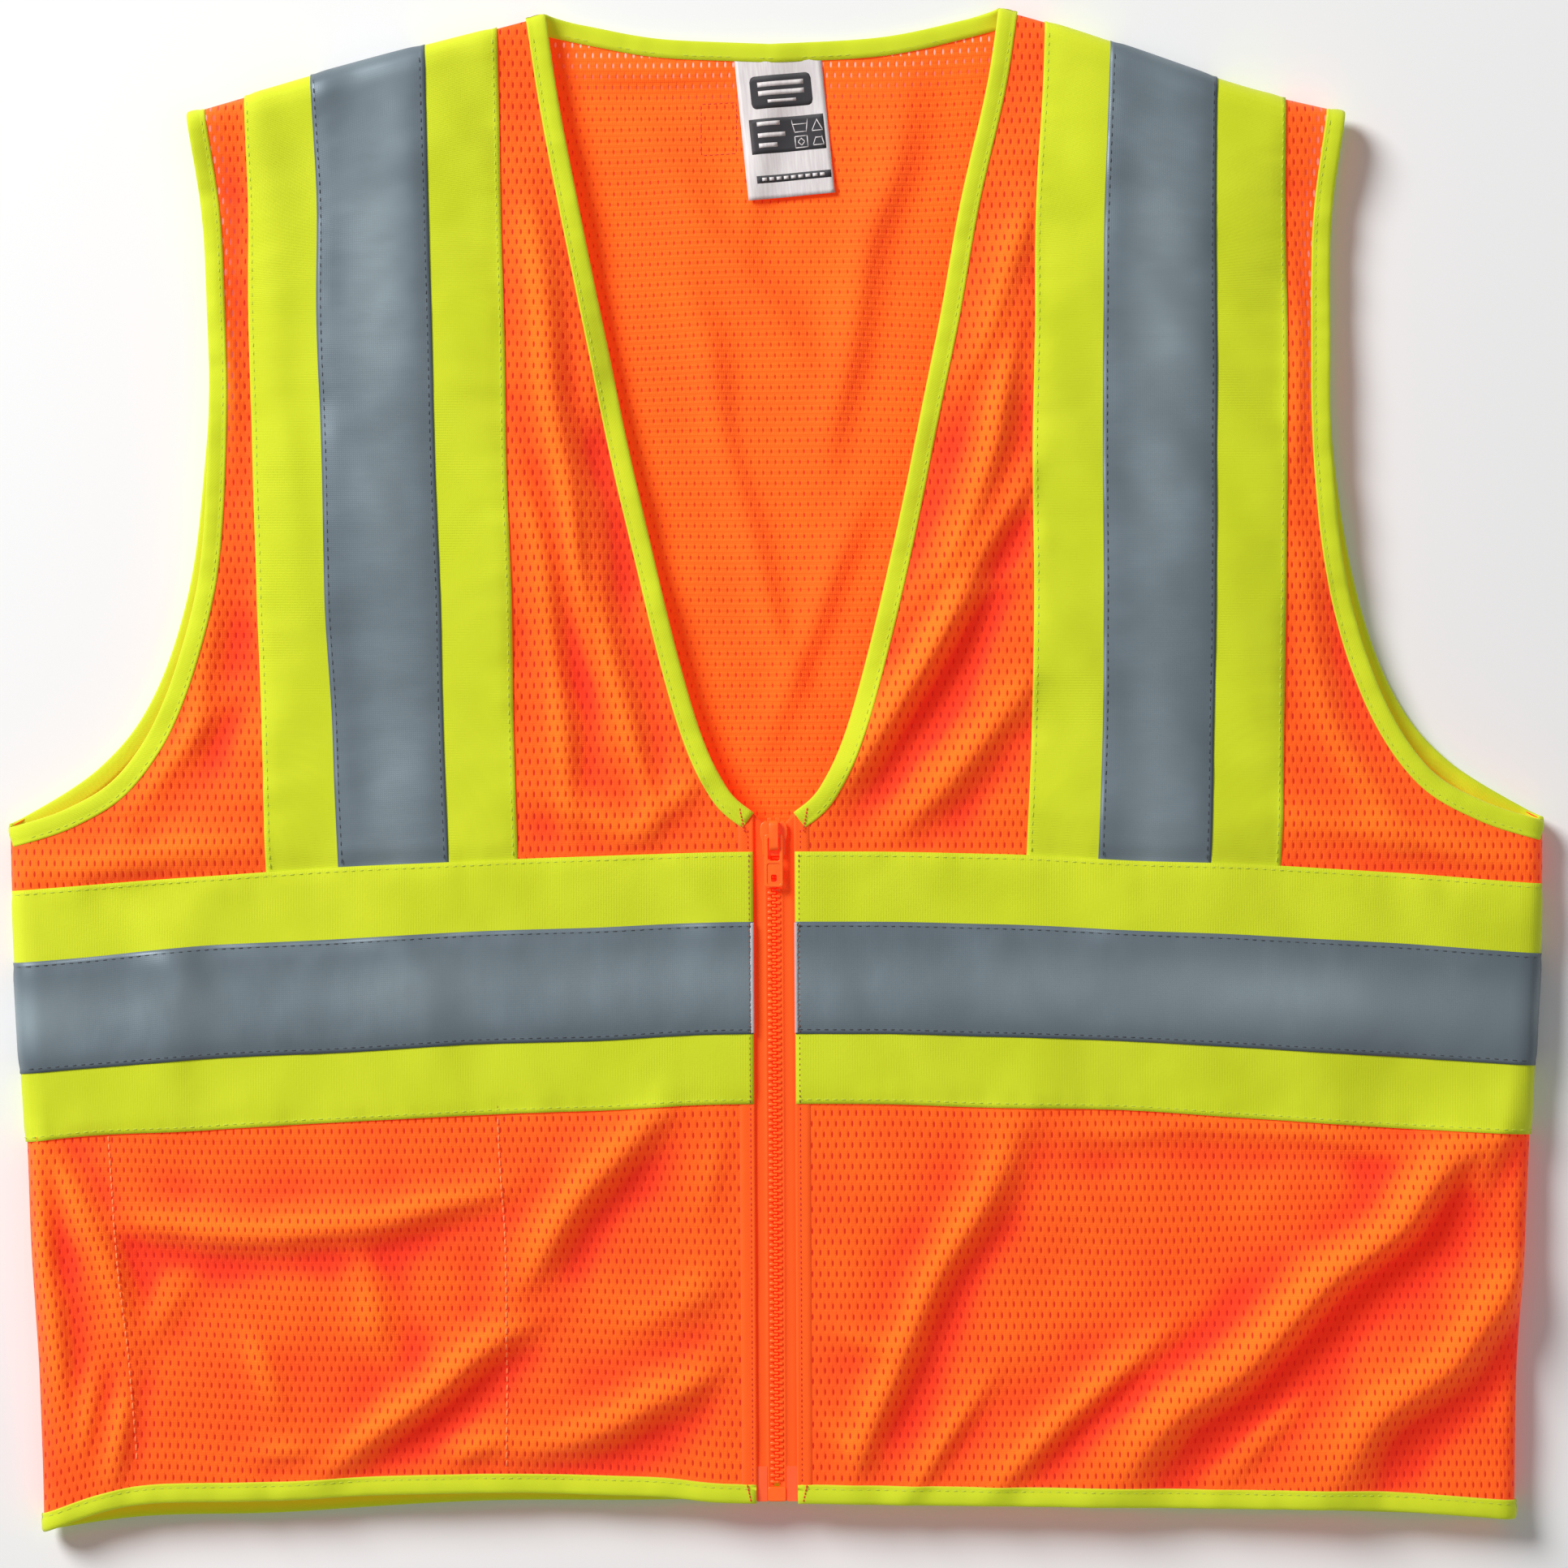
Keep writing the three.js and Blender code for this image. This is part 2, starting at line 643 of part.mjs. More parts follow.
for (const [hand, side] of [["right", -1], ["left", 1]]) {
  const panel = frontPanel(side);
  const waist = frontWaist(side, tapeShell, CONTRAST_WIDTH);
  const silver = frontWaist(side, silverShell, SILVER_WIDTH);
  place(`${hand}_side_panel`, sidePart(side, panel), "orangeMesh");
  place(`${hand}_front_panel`, flapPart(side, panel), "orangeMesh");
  place(`${hand}_side_waist_tape`, sidePart(side, waist), "limeTape");
  place(`${hand}_front_waist_tape`, flapPart(side, waist), "limeTape");
  place(`${hand}_side_waist_silver`, sidePart(side, silver), "silverTape");
  place(`${hand}_front_waist_silver`, flapPart(side, silver), "silverTape");
  place(`${hand}_front_brace_tape`, brace(side, tapeShell, CONTRAST_WIDTH, inFront), "limeTape");
  place(`${hand}_front_brace_silver`, brace(side, silverShell, SILVER_WIDTH, inFront), "silverTape");
  place(`${hand}_back_brace_tape`, brace(side, tapeShell, CONTRAST_WIDTH, inBack), "limeTape");
  place(`${hand}_back_brace_silver`, brace(side, silverShell, SILVER_WIDTH, inBack), "silverTape");
  place(`${hand}_armhole_binding`, armholeBinding(side), "limeBinding");
  place(`${hand}_v_binding`, flapPart(side, vBinding(side)), "limeBinding");
  place(`${hand}_front_hem_binding`, frontHemBinding(side), "limeBinding");
  place(`${hand}_zip_tape`, zipTape(side), "zipCloth");
  place(`${hand}_zip_teeth`, teeth(side), "zipPlastic");
  place(`${hand}_zip_stop`, topStop(side), "zipPlastic");
  place(`${hand}_zip_film`, film(side), "zipFilm");
}

place("zip_box", retainerBox(), "zipPlastic");
place("zip_pin", insertionPin(), "zipPlastic");
place("zip_slider", slider(), "zipPlastic");
place("zip_pull", pull(), "zipPlastic");

// The origin is at the middle of the box's underside.
const box = new THREE.Box3().setFromObject(vest);
const middle = box.getCenter(new THREE.Vector3());
vest.children.forEach((mesh) => mesh.geometry.translate(-middle.x, -middle.y, -box.min.z));

export default vest;
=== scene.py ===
# High visibility vest, lying flat on its back: cloth, tapes, bindings, stitching and zip round the packed
# frame. Lengths are millimetres in the vest's own plan (x across, y up from the middle of the vest) until
# to_mesh() turns them into metres in the frame.
import math

import bmesh
import bpy
import numpy as np
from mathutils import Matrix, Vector


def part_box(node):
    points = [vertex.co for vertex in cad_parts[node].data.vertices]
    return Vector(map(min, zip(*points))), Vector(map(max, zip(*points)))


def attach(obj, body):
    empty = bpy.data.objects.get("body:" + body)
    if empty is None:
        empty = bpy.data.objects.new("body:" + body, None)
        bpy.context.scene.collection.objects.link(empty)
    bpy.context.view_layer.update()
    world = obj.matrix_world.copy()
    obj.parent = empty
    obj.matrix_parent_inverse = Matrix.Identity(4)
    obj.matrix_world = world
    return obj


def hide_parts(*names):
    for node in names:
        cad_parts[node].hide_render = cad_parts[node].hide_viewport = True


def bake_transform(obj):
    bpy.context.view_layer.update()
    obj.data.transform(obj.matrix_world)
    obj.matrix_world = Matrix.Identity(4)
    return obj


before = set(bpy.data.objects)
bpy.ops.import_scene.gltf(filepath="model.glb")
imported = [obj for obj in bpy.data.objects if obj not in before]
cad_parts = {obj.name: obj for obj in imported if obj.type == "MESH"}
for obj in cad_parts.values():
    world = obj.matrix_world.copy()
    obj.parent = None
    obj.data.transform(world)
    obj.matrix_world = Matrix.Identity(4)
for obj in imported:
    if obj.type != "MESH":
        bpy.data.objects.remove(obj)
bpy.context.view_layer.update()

# ---- Sizes, as in the CAD model ------------------------------------------------------------------

MM = 0.001


def box_mm(node):
    low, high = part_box(node)
    return np.array(low) / MM, np.array(high) / MM


HEM_Y = -333.5
SWEEP_RADIUS = 4100
SHOULDER_NECK = (103, 344.4)
SHOULDER_ARM = (264, 301.5)
CHEST_Y = -60
HEM_HALF_WIDTH = 338
CONTRAST_WIDTH = 114.3
SILVER_WIDTH = 50.8
WAIST_Y = -96.2
WAIST_LOW, WAIST_HIGH = WAIST_Y - CONTRAST_WIDTH / 2, WAIST_Y + CONTRAST_WIDTH / 2
SILVER_LOW, SILVER_HIGH = WAIST_Y - SILVER_WIDTH / 2, WAIST_Y + SILVER_WIDTH / 2
BRACE_LOW = (172.5, -40)
BRACE_HIGH = (180.3, 320)
FRONT_GAP = 9.5
ZIP_TOP = -22
TOOTH_PITCH = 2.9
V_EDGE = [SHOULDER_NECK, (95, 293), (78, 204), (54, 92), (36, 22), (22, -10), (FRONT_GAP, ZIP_TOP)]
FRONT_ARMHOLE = [
    SHOULDER_ARM, (256, 241), (253, 167), (258, 92), (273, 35), (294, -1), (320, -18), (352, -28),
]
BACK_ARMHOLE = [SHOULDER_ARM, (256, 241), (254, 167), (262, 92), (279, 35), (306, 0), (352, -28)]
BACK_NECK = [(0, 331), (50, 334), (84, 340), SHOULDER_NECK]
FAR = 1000.0  # well outside the vest

MESH_THICK = 0.7
TAPE_THICK = 0.45
SILVER_THICK = 0.3

SHIFT_Y = box_mm("right_zip_tape")[0][1] - HEM_Y
FRONT_Z = box_mm("right_front_panel")[1][2]
BACK_Z = box_mm("back_panel")[0][2]
HALF_WIDTH = box_mm("back_panel")[1][0]
MIDDLE_Z = (FRONT_Z + BACK_Z) / 2
FOLD_R = (FRONT_Z - BACK_Z) / 2
TOP_Y = SHOULDER_NECK[1]
ZIP_Z = sum(box_mm("right_zip_tape")[i][2] for i in (0, 1)) / 2

FRONT, BACK = 1, -1
SHOULDER_SLOPE = (SHOULDER_ARM[1] - SHOULDER_NECK[1]) / (SHOULDER_ARM[0] - SHOULDER_NECK[0])
SHOULDER_COS = 1 / math.hypot(1, SHOULDER_SLOPE)


# ---- Small mathematics ---------------------------------------------------------------------------


def smoothstep(t):
    t = np.clip(t, 0, 1)
    return t * t * (3 - 2 * t)


def spline(points, count):
    """Points along the Catmull-Rom curve through these points."""
    p = np.array(points, float)
    at = np.linspace(0, len(p) - 1, count + 1)
    i = np.minimum(at.astype(int), len(p) - 2)
    t = (at - i)[:, None]
    p0, p1, p2, p3 = p[np.maximum(i - 1, 0)], p[i], p[i + 1], p[np.minimum(i + 2, len(p) - 1)]
    m1, m2 = (p2 - p0) / 2, (p3 - p1) / 2
    leave, arrive = t**3 - 2 * t**2 + t, t**3 - t**2
    return (2 * t**3 - 3 * t**2 + 1) * p1 + leave * m1 + (3 * t**2 - 2 * t**3) * p2 + arrive * m2


def arc_lengths(line):
    """Distance along a line to each of its points."""
    return np.concatenate([[0], np.cumsum(np.linalg.norm(np.diff(line, axis=0), axis=1))])


def points_at(line, at):
    """Points at given distances along a line."""
    reach = arc_lengths(line)
    return np.stack([np.interp(at, reach, line[:, k]) for k in (0, 1)], -1)


def noise(x, y, size, seed):
    """Smooth value noise from -1 to 1 with the given cell size."""
    table = np.random.RandomState(seed).uniform(-1, 1, (64, 64))
    u, v = np.asarray(x, float) / size + 31.3, np.asarray(y, float) / size + 31.7
    i, j = np.floor(u).astype(int), np.floor(v).astype(int)
    a, b = u - i, v - j
    a, b = a * a * (3 - 2 * a), b * b * (3 - 2 * b)
    low = table[i % 64, j % 64] * (1 - a) + table[(i + 1) % 64, j % 64] * a
    high = table[i % 64, (j + 1) % 64] * (1 - a) + table[(i + 1) % 64, (j + 1) % 64] * a
    return low * (1 - b) + high * b


# ---- The plan of the vest ------------------------------------------------------------------------
# Rows of cloth run across the vest. A row is named by its height v on the centre line: low rows follow the
# hem's curve and the top row follows the shoulder line, or on the back the neckline.


def side_x(y):
    taper = (HALF_WIDTH - HEM_HALF_WIDTH) / (CHEST_Y - HEM_Y)
    return np.minimum(HALF_WIDTH, HALF_WIDTH + (np.asarray(y, float) - CHEST_Y) * taper)


def shoulder_y(x):
    return SHOULDER_NECK[1] + (np.abs(x) - SHOULDER_NECK[0]) * SHOULDER_SLOPE


neck_curve = spline(BACK_NECK, 40)


def top_y(x, face):
    if face == FRONT:
        return shoulder_y(x)
    inside = np.interp(np.abs(x), neck_curve[:, 0], neck_curve[:, 1])
    return np.where(np.abs(x) < SHOULDER_NECK[0], inside, shoulder_y(x))


def drop(x):
    return np.asarray(x, float) ** 2 / (2 * SWEEP_RADIUS)


def row_y(v, x, face):
    low = 1 - smoothstep((v + 40) / 100)
    high = smoothstep((v - 200) / (TOP_Y - 200))
    return v - drop(x) * low + (top_y(x, face) - TOP_Y) * high


def row_of(x, y, face):
    v = np.array(y, float)
    for _ in range(40):
        v = v - (row_y(v, x, face) - y)
    return v


def edge_by_row(points, face):
    """x of an edge line as a function of the row."""
    v = row_of(points[:, 0], points[:, 1], face)
    order = np.argsort(v)
    return v[order], points[order, 0]


v_edge = spline(V_EDGE, 120)
arm_edge = {FRONT: spline(FRONT_ARMHOLE, 160), BACK: spline(BACK_ARMHOLE, 160)}
inner_rows = edge_by_row(v_edge, FRONT)
arm_rows = {face: edge_by_row(arm_edge[face], face) for face in (FRONT, BACK)}


def inner_x(v):
    return np.where(v < ZIP_TOP, FRONT_GAP, np.interp(v, *inner_rows))


def outer_x(v, face):
    arm = np.interp(v, *arm_rows[face])
    return np.minimum(side_x(v - drop(HALF_WIDTH)), np.where(v < arm_rows[face][0][0], FAR, arm))


# How far the hem lies above its true line, across the vest: the back's hem shows below the front's
FRONT_HEM_RISE = [
    (-338, 1.5), (-312, 8.5), (-288, 11), (-250, 9), (-213, 7), (-131, 7), (-60, 4), (-16, 0), (85, 0),
    (176, 1), (267, 4.8), (338, 4.5),
]
BACK_HEM_RISE = [
    (-338, 1.5), (-291, 4), (-213, 0), (-131, 2), (-16, 0), (85, 0), (176, 0), (267, 2.6), (338, 4.5),
]

# ---- Wrinkles ------------------------------------------------------------------------------------

# Folds of the front: the ridge line, then width and height
FOLDS = [
    # below the waist, wearer's left
    ([(156, -322), (222, -262), (318, -176)], 19, 7.5),
    ([(255, -326), (296, -282), (338, -232)], 20, 6.5), ([(106, -168), (62, -258), (40, -312)], 13, 4.2),
    ([(178, -255), (140, -288), (104, -322)], 11, 4.0), ([(92, -280), (60, -328)], 8, 2.6),
    ([(14, -252), (50, -262)], 9, 1.8), ([(14, -292), (40, -312)], 7, 2.0),
    ([(120, -163), (280, -170)], 12, 1.8), ([(318, -196), (334, -150)], 9, 2.0),
    ([(205, -322), (238, -292)], 8, 2.0),
    # below the waist, wearer's right
    ([(-294, -206), (-222, -216), (-136, -192)], 14, 4.0),
    ([(-200, -318), (-158, -292), (-122, -262)], 11, 5.4),
    ([(-54, -160), (-100, -202), (-119, -236)], 12, 4.4),
    ([(-22, -272), (-70, -296), (-120, -314)], 12, 4.2),
    ([(-328, -176), (-308, -224), (-303, -262)], 9, 4.0), ([(-188, -228), (-182, -272)], 12, 2.2),
    ([(-336, -180), (-330, -300)], 6, 2.6), ([(-312, -282), (-320, -318)], 7, 2.6),
    ([(-298, -290), (-306, -330)], 7, 3.0), ([(-244, -262), (-232, -300)], 10, 2.0),
    ([(-288, -268), (-270, -238)], 9, 1.8), ([(-26, -166), (-34, -200)], 8, 2.0),
    ([(-240, -322), (-214, -318)], 7, 1.8), ([(-150, -322), (-128, -312)], 7, 2.2),
    ([(-16, -228), (-70, -258)], 13, 2.4),
    # above the waist, wearer's left
    ([(24, -16), (64, 46), (112, 122)], 10, 4.6), ([(60, -26), (110, 36)], 9, 3.6),
    ([(64, 74), (92, 128), (112, 196)], 9, 4.0), ([(88, 176), (114, 250)], 8, 2.6),
    ([(48, 10), (84, 70), (104, 84)], 8, 2.6), ([(242, 92), (250, 24), (282, -36)], 9, 2.0),
    ([(240, -22), (330, -44)], 9, 2.4), ([(240, 226), (236, 130)], 6, 1.2),
    # above the waist, wearer's right
    ([(-106, 250), (-98, 160), (-86, 70)], 9, 4.0), ([(-86, 140), (-73, 50), (-58, -8)], 8, 3.0),
    ([(-112, 130), (-98, 60), (-92, -10)], 8, 3.0), ([(-90, 220), (-80, 160)], 7, 2.2),
    ([(-30, -2), (-62, -30)], 7, 1.8), ([(-60, -30), (-108, -12)], 8, 1.8),
    ([(-252, 84), (-262, 10)], 9, 2.6), ([(-238, -34), (-330, -46)], 10, 3.0),
    ([(-250, 250), (-242, 150)], 6, 2.0), ([(-248, 30), (-290, -20)], 8, 2.2),
    # across the tapes
    ([(-262, -60), (-276, -140)], 16, 2.2), ([(-228, 300), (-212, 60)], 14, 1.6),
    ([(-150, -50), (-156, -140)], 20, 1.2), ([(212, 60), (224, -30)], 16, 1.6),
    ([(270, -60), (262, -140)], 24, 1.2), ([(122, -20), (236, -26)], 14, 1.4),
]
# Folds of the back, seen through the neck opening
BACK_FOLDS = [
    ([(-70, 300), (-20, 236), (20, 180)], 18, 2.0), ([(60, 310), (30, 150)], 16, 2.2),
    ([(-40, 220), (10, 40)], 14, 1.8), ([(0, 330), (-10, 240)], 14, 1.2), ([(40, 120), (0, 20)], 12, 1.6),
    ([(-84, 322), (-30, 318)], 9, 1.4),
]
STEP = 1.5  # spacing of the height field
FIELD_X = np.arange(-366, 367, STEP)
FIELD_Y = FIELD_X
FRONT_RISE, BACK_RISE = 1.6, 1.7  # the folds' heights are scaled by this


def add_fold(height, ridge, width, rise, seed):
    """Adds a rounded ridge, tapered at both ends, that falls into a valley on its lower right."""
    line = spline(ridge, 16)
    reach = 3.2 * width
    low, high = line.min(axis=0) - reach, line.max(axis=0) + reach
    i0, i1 = np.searchsorted(FIELD_X, (low[0], high[0]))
    j0, j1 = np.searchsorted(FIELD_Y, (low[1], high[1]))
    x, y = np.meshgrid(FIELD_X[i0:i1], FIELD_Y[j0:j1])
    total = arc_lengths(line)
    nearest = np.full(x.shape, 1e9)
    across, along, far = np.zeros_like(x), np.zeros_like(x), np.zeros_like(x)
    for k, (a, b) in enumerate(zip(line, line[1:])):
        step = b - a
        size = np.linalg.norm(step)
        t = ((x - a[0]) * step[0] + (y - a[1]) * step[1]) / size**2
        t = np.clip(t, -9 if k == 0 else 0, 9 if k == len(line) - 2 else 1)
        dx, dy = x - a[0] - t * step[0], y - a[1] - t * step[1]
        distance = np.hypot(dx, dy)
        closer = distance < nearest
        sign = np.sign(step[0] * dy - step[1] * dx)
        nearest = np.where(closer, distance, nearest)
        across = np.where(closer, sign * distance, across)
        along = np.where(closer, total[k] + t * size, along)
        far = np.where(closer, (dx - dy) / np.maximum(distance, 1e-6), far)
    length = total[-1]
    taper = min(40, length * 0.45)
    ends = smoothstep(along / taper * 0.5 + 0.5) * smoothstep((length - along) / taper * 0.5 + 0.5)
    wander = 0.35 * width * noise(along, 0 * along + 9.0 * seed, 45, 40)
    d = (across + wander) / (width * (0.85 + 0.3 * noise(along, 0 * along + 5.0 * seed, 60, 41)))
    crest = 0.45 * np.exp(-0.85 * d * d) + 0.55 / np.cosh(1.8 * d)
    profile = (1 - d * d * (0.15 + 1.2 * smoothstep(far / 2 + 0.5))) * crest
    height[j0:j1, i0:i1] += rise * ends * profile


def tape_share(x, y, v):
    """1 on the stiff double cloth under the tapes, 0 on the plain mesh."""
    waist = smoothstep((CONTRAST_WIDTH / 2 + 5 - np.abs(v - WAIST_Y)) / 10)
    brace = smoothstep((CONTRAST_WIDTH / 2 + 5 - np.abs(np.abs(x) - brace_x(y))) / 10) * (v > WAIST_Y)
    return np.maximum(waist, brace)


def brace_x(y):
    lean = (BRACE_HIGH[0] - BRACE_LOW[0]) / (BRACE_HIGH[1] - BRACE_LOW[1])
    return BRACE_LOW[0] + (y - BRACE_LOW[1]) * lean


def gather(distance, along, seed):
    """Short gathers that run out from a stitched line."""
    fine = noise(along, distance * 0.3, 8, seed) + 0.5 * noise(along, distance * 0.3, 4, seed + 1)
    return np.exp(-np.abs(distance) / 10) * fine


def puckers(x, y, v):
    """Gathers along every seam of the front."""
    hand = 400 * np.sign(x)
    height = gather(v - WAIST_HIGH, x, 3) + gather(v - WAIST_LOW, x, 5) + gather(v - HEM_Y, x, 7)
    above = smoothstep((v + 40) / 20)
    for edge in (-1, 1):
        from_brace = np.abs(x) - brace_x(y) - edge * CONTRAST_WIDTH / 2
        height += above * gather(from_brace, y + hand, 10 + 3 * edge)
    height += gather(outer_x(v, FRONT) - np.abs(x), y + hand, 17) * smoothstep((v + 30) / 10)
    height += gather(np.abs(x) - inner_x(v), y + hand, 19)
    return 0.5 * height


def front_field():
    """Height of the front above its flat place, over a grid of the plan."""
    x, y = np.meshgrid(FIELD_X, FIELD_Y)
    v, ax = row_of(x, y, FRONT), np.abs(x)
    loose = np.zeros_like(x)
    for n, (ridge, width, rise) in enumerate(FOLDS):
        add_fold(loose, ridge, 1.12 * width, FRONT_RISE * rise, n)
    loose = loose + 1.7 * noise(x, y, 95, 23) + 1.2 * noise(x, y, 42, 24)
    loose = loose + 0.55 * noise(x + y, y - x, 24, 25)
    stiff = tape_share(x, y, v)
    ripples = 0.12 * noise(x, y, 9, 26) + 1.5 * noise(x + 0.7 * y, 0.3 * (y - 0.7 * x), 22, 27)
    height = loose * (1 - 0.4 * stiff) + stiff * ripples + puckers(x, y, v)
    by_opening = (1 - smoothstep((ax - inner_x(v)) / 70)) * smoothstep((v - ZIP_TOP) / 60)
    by_arm = (1 - smoothstep((outer_x(v, FRONT) - ax) / 60)) * smoothstep((v + 20) / 40)
    sag = -5 * by_opening - 4.5 * by_arm * smoothstep((TOP_Y - v) / 60)
    by_zip = np.maximum(smoothstep((ax - 12) / 30), 0.8 * smoothstep((v - ZIP_TOP + 4) / 40))
    return height * by_zip * smoothstep((ax - 8) / 12) + sag


def back_field():
    """Height of the back above the floor."""
    x, y = np.meshgrid(FIELD_X, FIELD_Y)
    height = 0.8 + 0.7 * noise(x, y, 60, 31) + 0.3 * noise(x, y, 25, 32)
    for n, (ridge, width, rise) in enumerate(BACK_FOLDS):
        add_fold(height, ridge, width, BACK_RISE * rise, n)
    return np.maximum(height, 0)


def sample(field, x, y):
    u = np.clip((x - FIELD_X[0]) / STEP, 0, len(FIELD_X) - 1.001)
    w = np.clip((y - FIELD_Y[0]) / STEP, 0, len(FIELD_Y) - 1.001)
    i, j = u.astype(int), w.astype(int)
    a, b = u - i, w - j
    low = field[j, i] * (1 - a) + field[j, i + 1] * a
    high = field[j + 1, i] * (1 - a) + field[j + 1, i + 1] * a
    return low * (1 - b) + high * b


def softened(field, reach):
    """The field averaged over a square, reach mm to each side."""
    size = int(reach / STEP)
    for axis in (0, 1):
        margins = [(size, size) if k == axis else (0, 0) for k in (0, 1)]
        total = np.cumsum(np.pad(field, margins, mode="edge"), axis=axis)
        within = np.roll(total, -2 * size, axis=axis) - total
        field = within.take(range(field.shape[axis]), axis=axis) / (2 * size)
    return field


FRONT_FIELD, BACK_FIELD = front_field(), back_field()
FRONT_RELIEF = FRONT_FIELD - softened(softened(FRONT_FIELD, 20), 14)  # height above the cloth around


def hem_rise(x, points):
    line = spline(points, 80)
    return np.interp(x, line[:, 0], line[:, 1])


def shift_plan(x, y, face):
    """How far the cloth lies from its true plan, as hands leave it."""
    free = smoothstep((np.abs(x) - 14) / 70)  # the zip lies true
    dx = free * (2.2 * noise(x, y, 150, 51) + 1.0 * noise(x, y, 60, 52))
    dy = free * (2.0 * noise(x, y, 160, 53) + 1.0 * noise(x, y, 60, 54))
    by_hem = smoothstep((-150 - y) / 165)
    dy = dy + by_hem * np.where(face > 0, hem_rise(x, FRONT_HEM_RISE), hem_rise(x, BACK_HEM_RISE))
    # the shoulders, the neck and the waist lie low
    by_shoulder = smoothstep((np.abs(x) - 110) / 120) * smoothstep((y - 180) / 100)
    dy = dy - by_shoulder * np.where(x < 0, 3.7, 5.0)
    by_neck = np.where(x < 0, 1 - smoothstep((-x - 110) / 120), 1 - smoothstep((x - 20) / 90))
    dy = dy - 3.1 * by_neck * smoothstep((y - 200) / 80)
    dy = dy - 2.0 * free * smoothstep((30 - y) / 80) * smoothstep((y + 240) / 100)
    # the left shoulder and both lower sides lie in, and the left underarm lies out
    dx = dx - 3.6 * by_shoulder * (x > 0)
    dx = dx - smoothstep((-60 - y) / 275) * np.where(x < 0, 5.0, 3.0) * x / HEM_HALF_WIDTH
    dx = dx + 2.6 * np.clip(x / HALF_WIDTH, 0, 1) ** 2 * np.exp(-(((y + 30) / 60) ** 2))
    return dx, dy


def lay(x, y, face, lift):
    """Places plan points on the lying vest, lift above the face of the mesh cloth, as (x, y, z)."""
    x, y = np.broadcast_arrays(np.asarray(x, float), np.asarray(y, float))
    face = np.broadcast_to(np.asarray(face, float), x.shape)
    lift = np.broadcast_to(lift, x.shape)
    to_side = side_x(y) - np.abs(x)
    to_shoulder = (shoulder_y(x) - y) * SHOULDER_COS
    by_side = to_side < to_shoulder
    turn = np.clip(1 - np.minimum(to_side, to_shoulder) / FOLD_R, 0, 1)
    out_x = np.where(by_side, 1, -SHOULDER_SLOPE * SHOULDER_COS) * np.sign(x)
    out_y = np.where(by_side, 0, SHOULDER_COS)
    level = np.sqrt(1 - turn * turn)
    raised = np.where(face > 0, sample(FRONT_FIELD, x, y), sample(BACK_FIELD, x, y)) * level
    dx, dy = shift_plan(x, y, face)
    return np.stack(
        [
            x + out_x * lift * turn + dx,
            y + out_y * lift * turn + dy,
            MIDDLE_Z + face * (FOLD_R + lift) * level + raised,
        ],
        axis=-1,
    )


# ---- Meshes --------------------------------------------------------------------------------------


def add_object(name, data):
    obj = bpy.data.objects.new(name, data)
    bpy.context.scene.collection.objects.link(obj)
    return obj


def to_mesh(name, points, faces, materials, uv=None, slots=None):
    """A mesh object from points in mm, with the plan as its uv map named cloth, in metres."""
    points = np.asarray(points, float).reshape(-1, 3)
    placed = (points + np.array([0, SHIFT_Y, 0])) * MM
    mesh = bpy.data.meshes.new(name)
    faces = np.asarray(faces, dtype=np.int32)
    mesh.vertices.add(len(placed))
    mesh.vertices.foreach_set("co", placed.ravel())
    size = faces.shape[1]
    mesh.loops.add(faces.size)
    mesh.loops.foreach_set("vertex_index", faces.ravel())
    mesh.polygons.add(len(faces))
    mesh.polygons.foreach_set("loop_start", np.arange(0, faces.size, size, dtype=np.int32))
    if slots is not None:
        mesh.polygons.foreach_set("material_index", np.asarray(slots, np.int32))
    mesh.update(calc_edges=True)
    mesh.validate()
    plan = points[:, :2] if uv is None else np.asarray(uv, float).reshape(-1, 2)
    layer = mesh.uv_layers.new(name="cloth")
    index = np.empty(len(mesh.loops), np.int32)
    mesh.loops.foreach_get("vertex_index", index)
    layer.data.foreach_set("uv", (plan[index] * MM).ravel())
    mesh.polygons.foreach_set("use_smooth", np.ones(len(mesh.polygons), bool))
    mesh.update()
    for material in materials:
        mesh.materials.append(material)
    return add_object(name, mesh)


def grid_faces(rows, columns, offset=0, wrap=False):
    i, j = np.meshgrid(np.arange(rows - 1), np.arange(columns if wrap else columns - 1), indexing="ij")
    k = (j + 1) % columns
    low, high = i * columns + offset, (i + 1) * columns + offset
    return np.stack([low + j, low + k, high + k, high + j], -1).reshape(-1, 4)


def rim_faces(rows, columns, offset=0):
    """Faces that join a grid's edge to that of the same grid below it."""
    rim = np.concatenate([
        np.arange(columns),
        np.arange(1, rows) * columns + columns - 1,
        (rows - 1) * columns + np.arange(columns - 2, -1, -1),
        np.arange(rows - 2, 0, -1) * columns,
    ]) + offset
    after = np.roll(rim, -1)
    below = rows * columns
    return np.stack([rim, rim + below, after + below, after], -1)


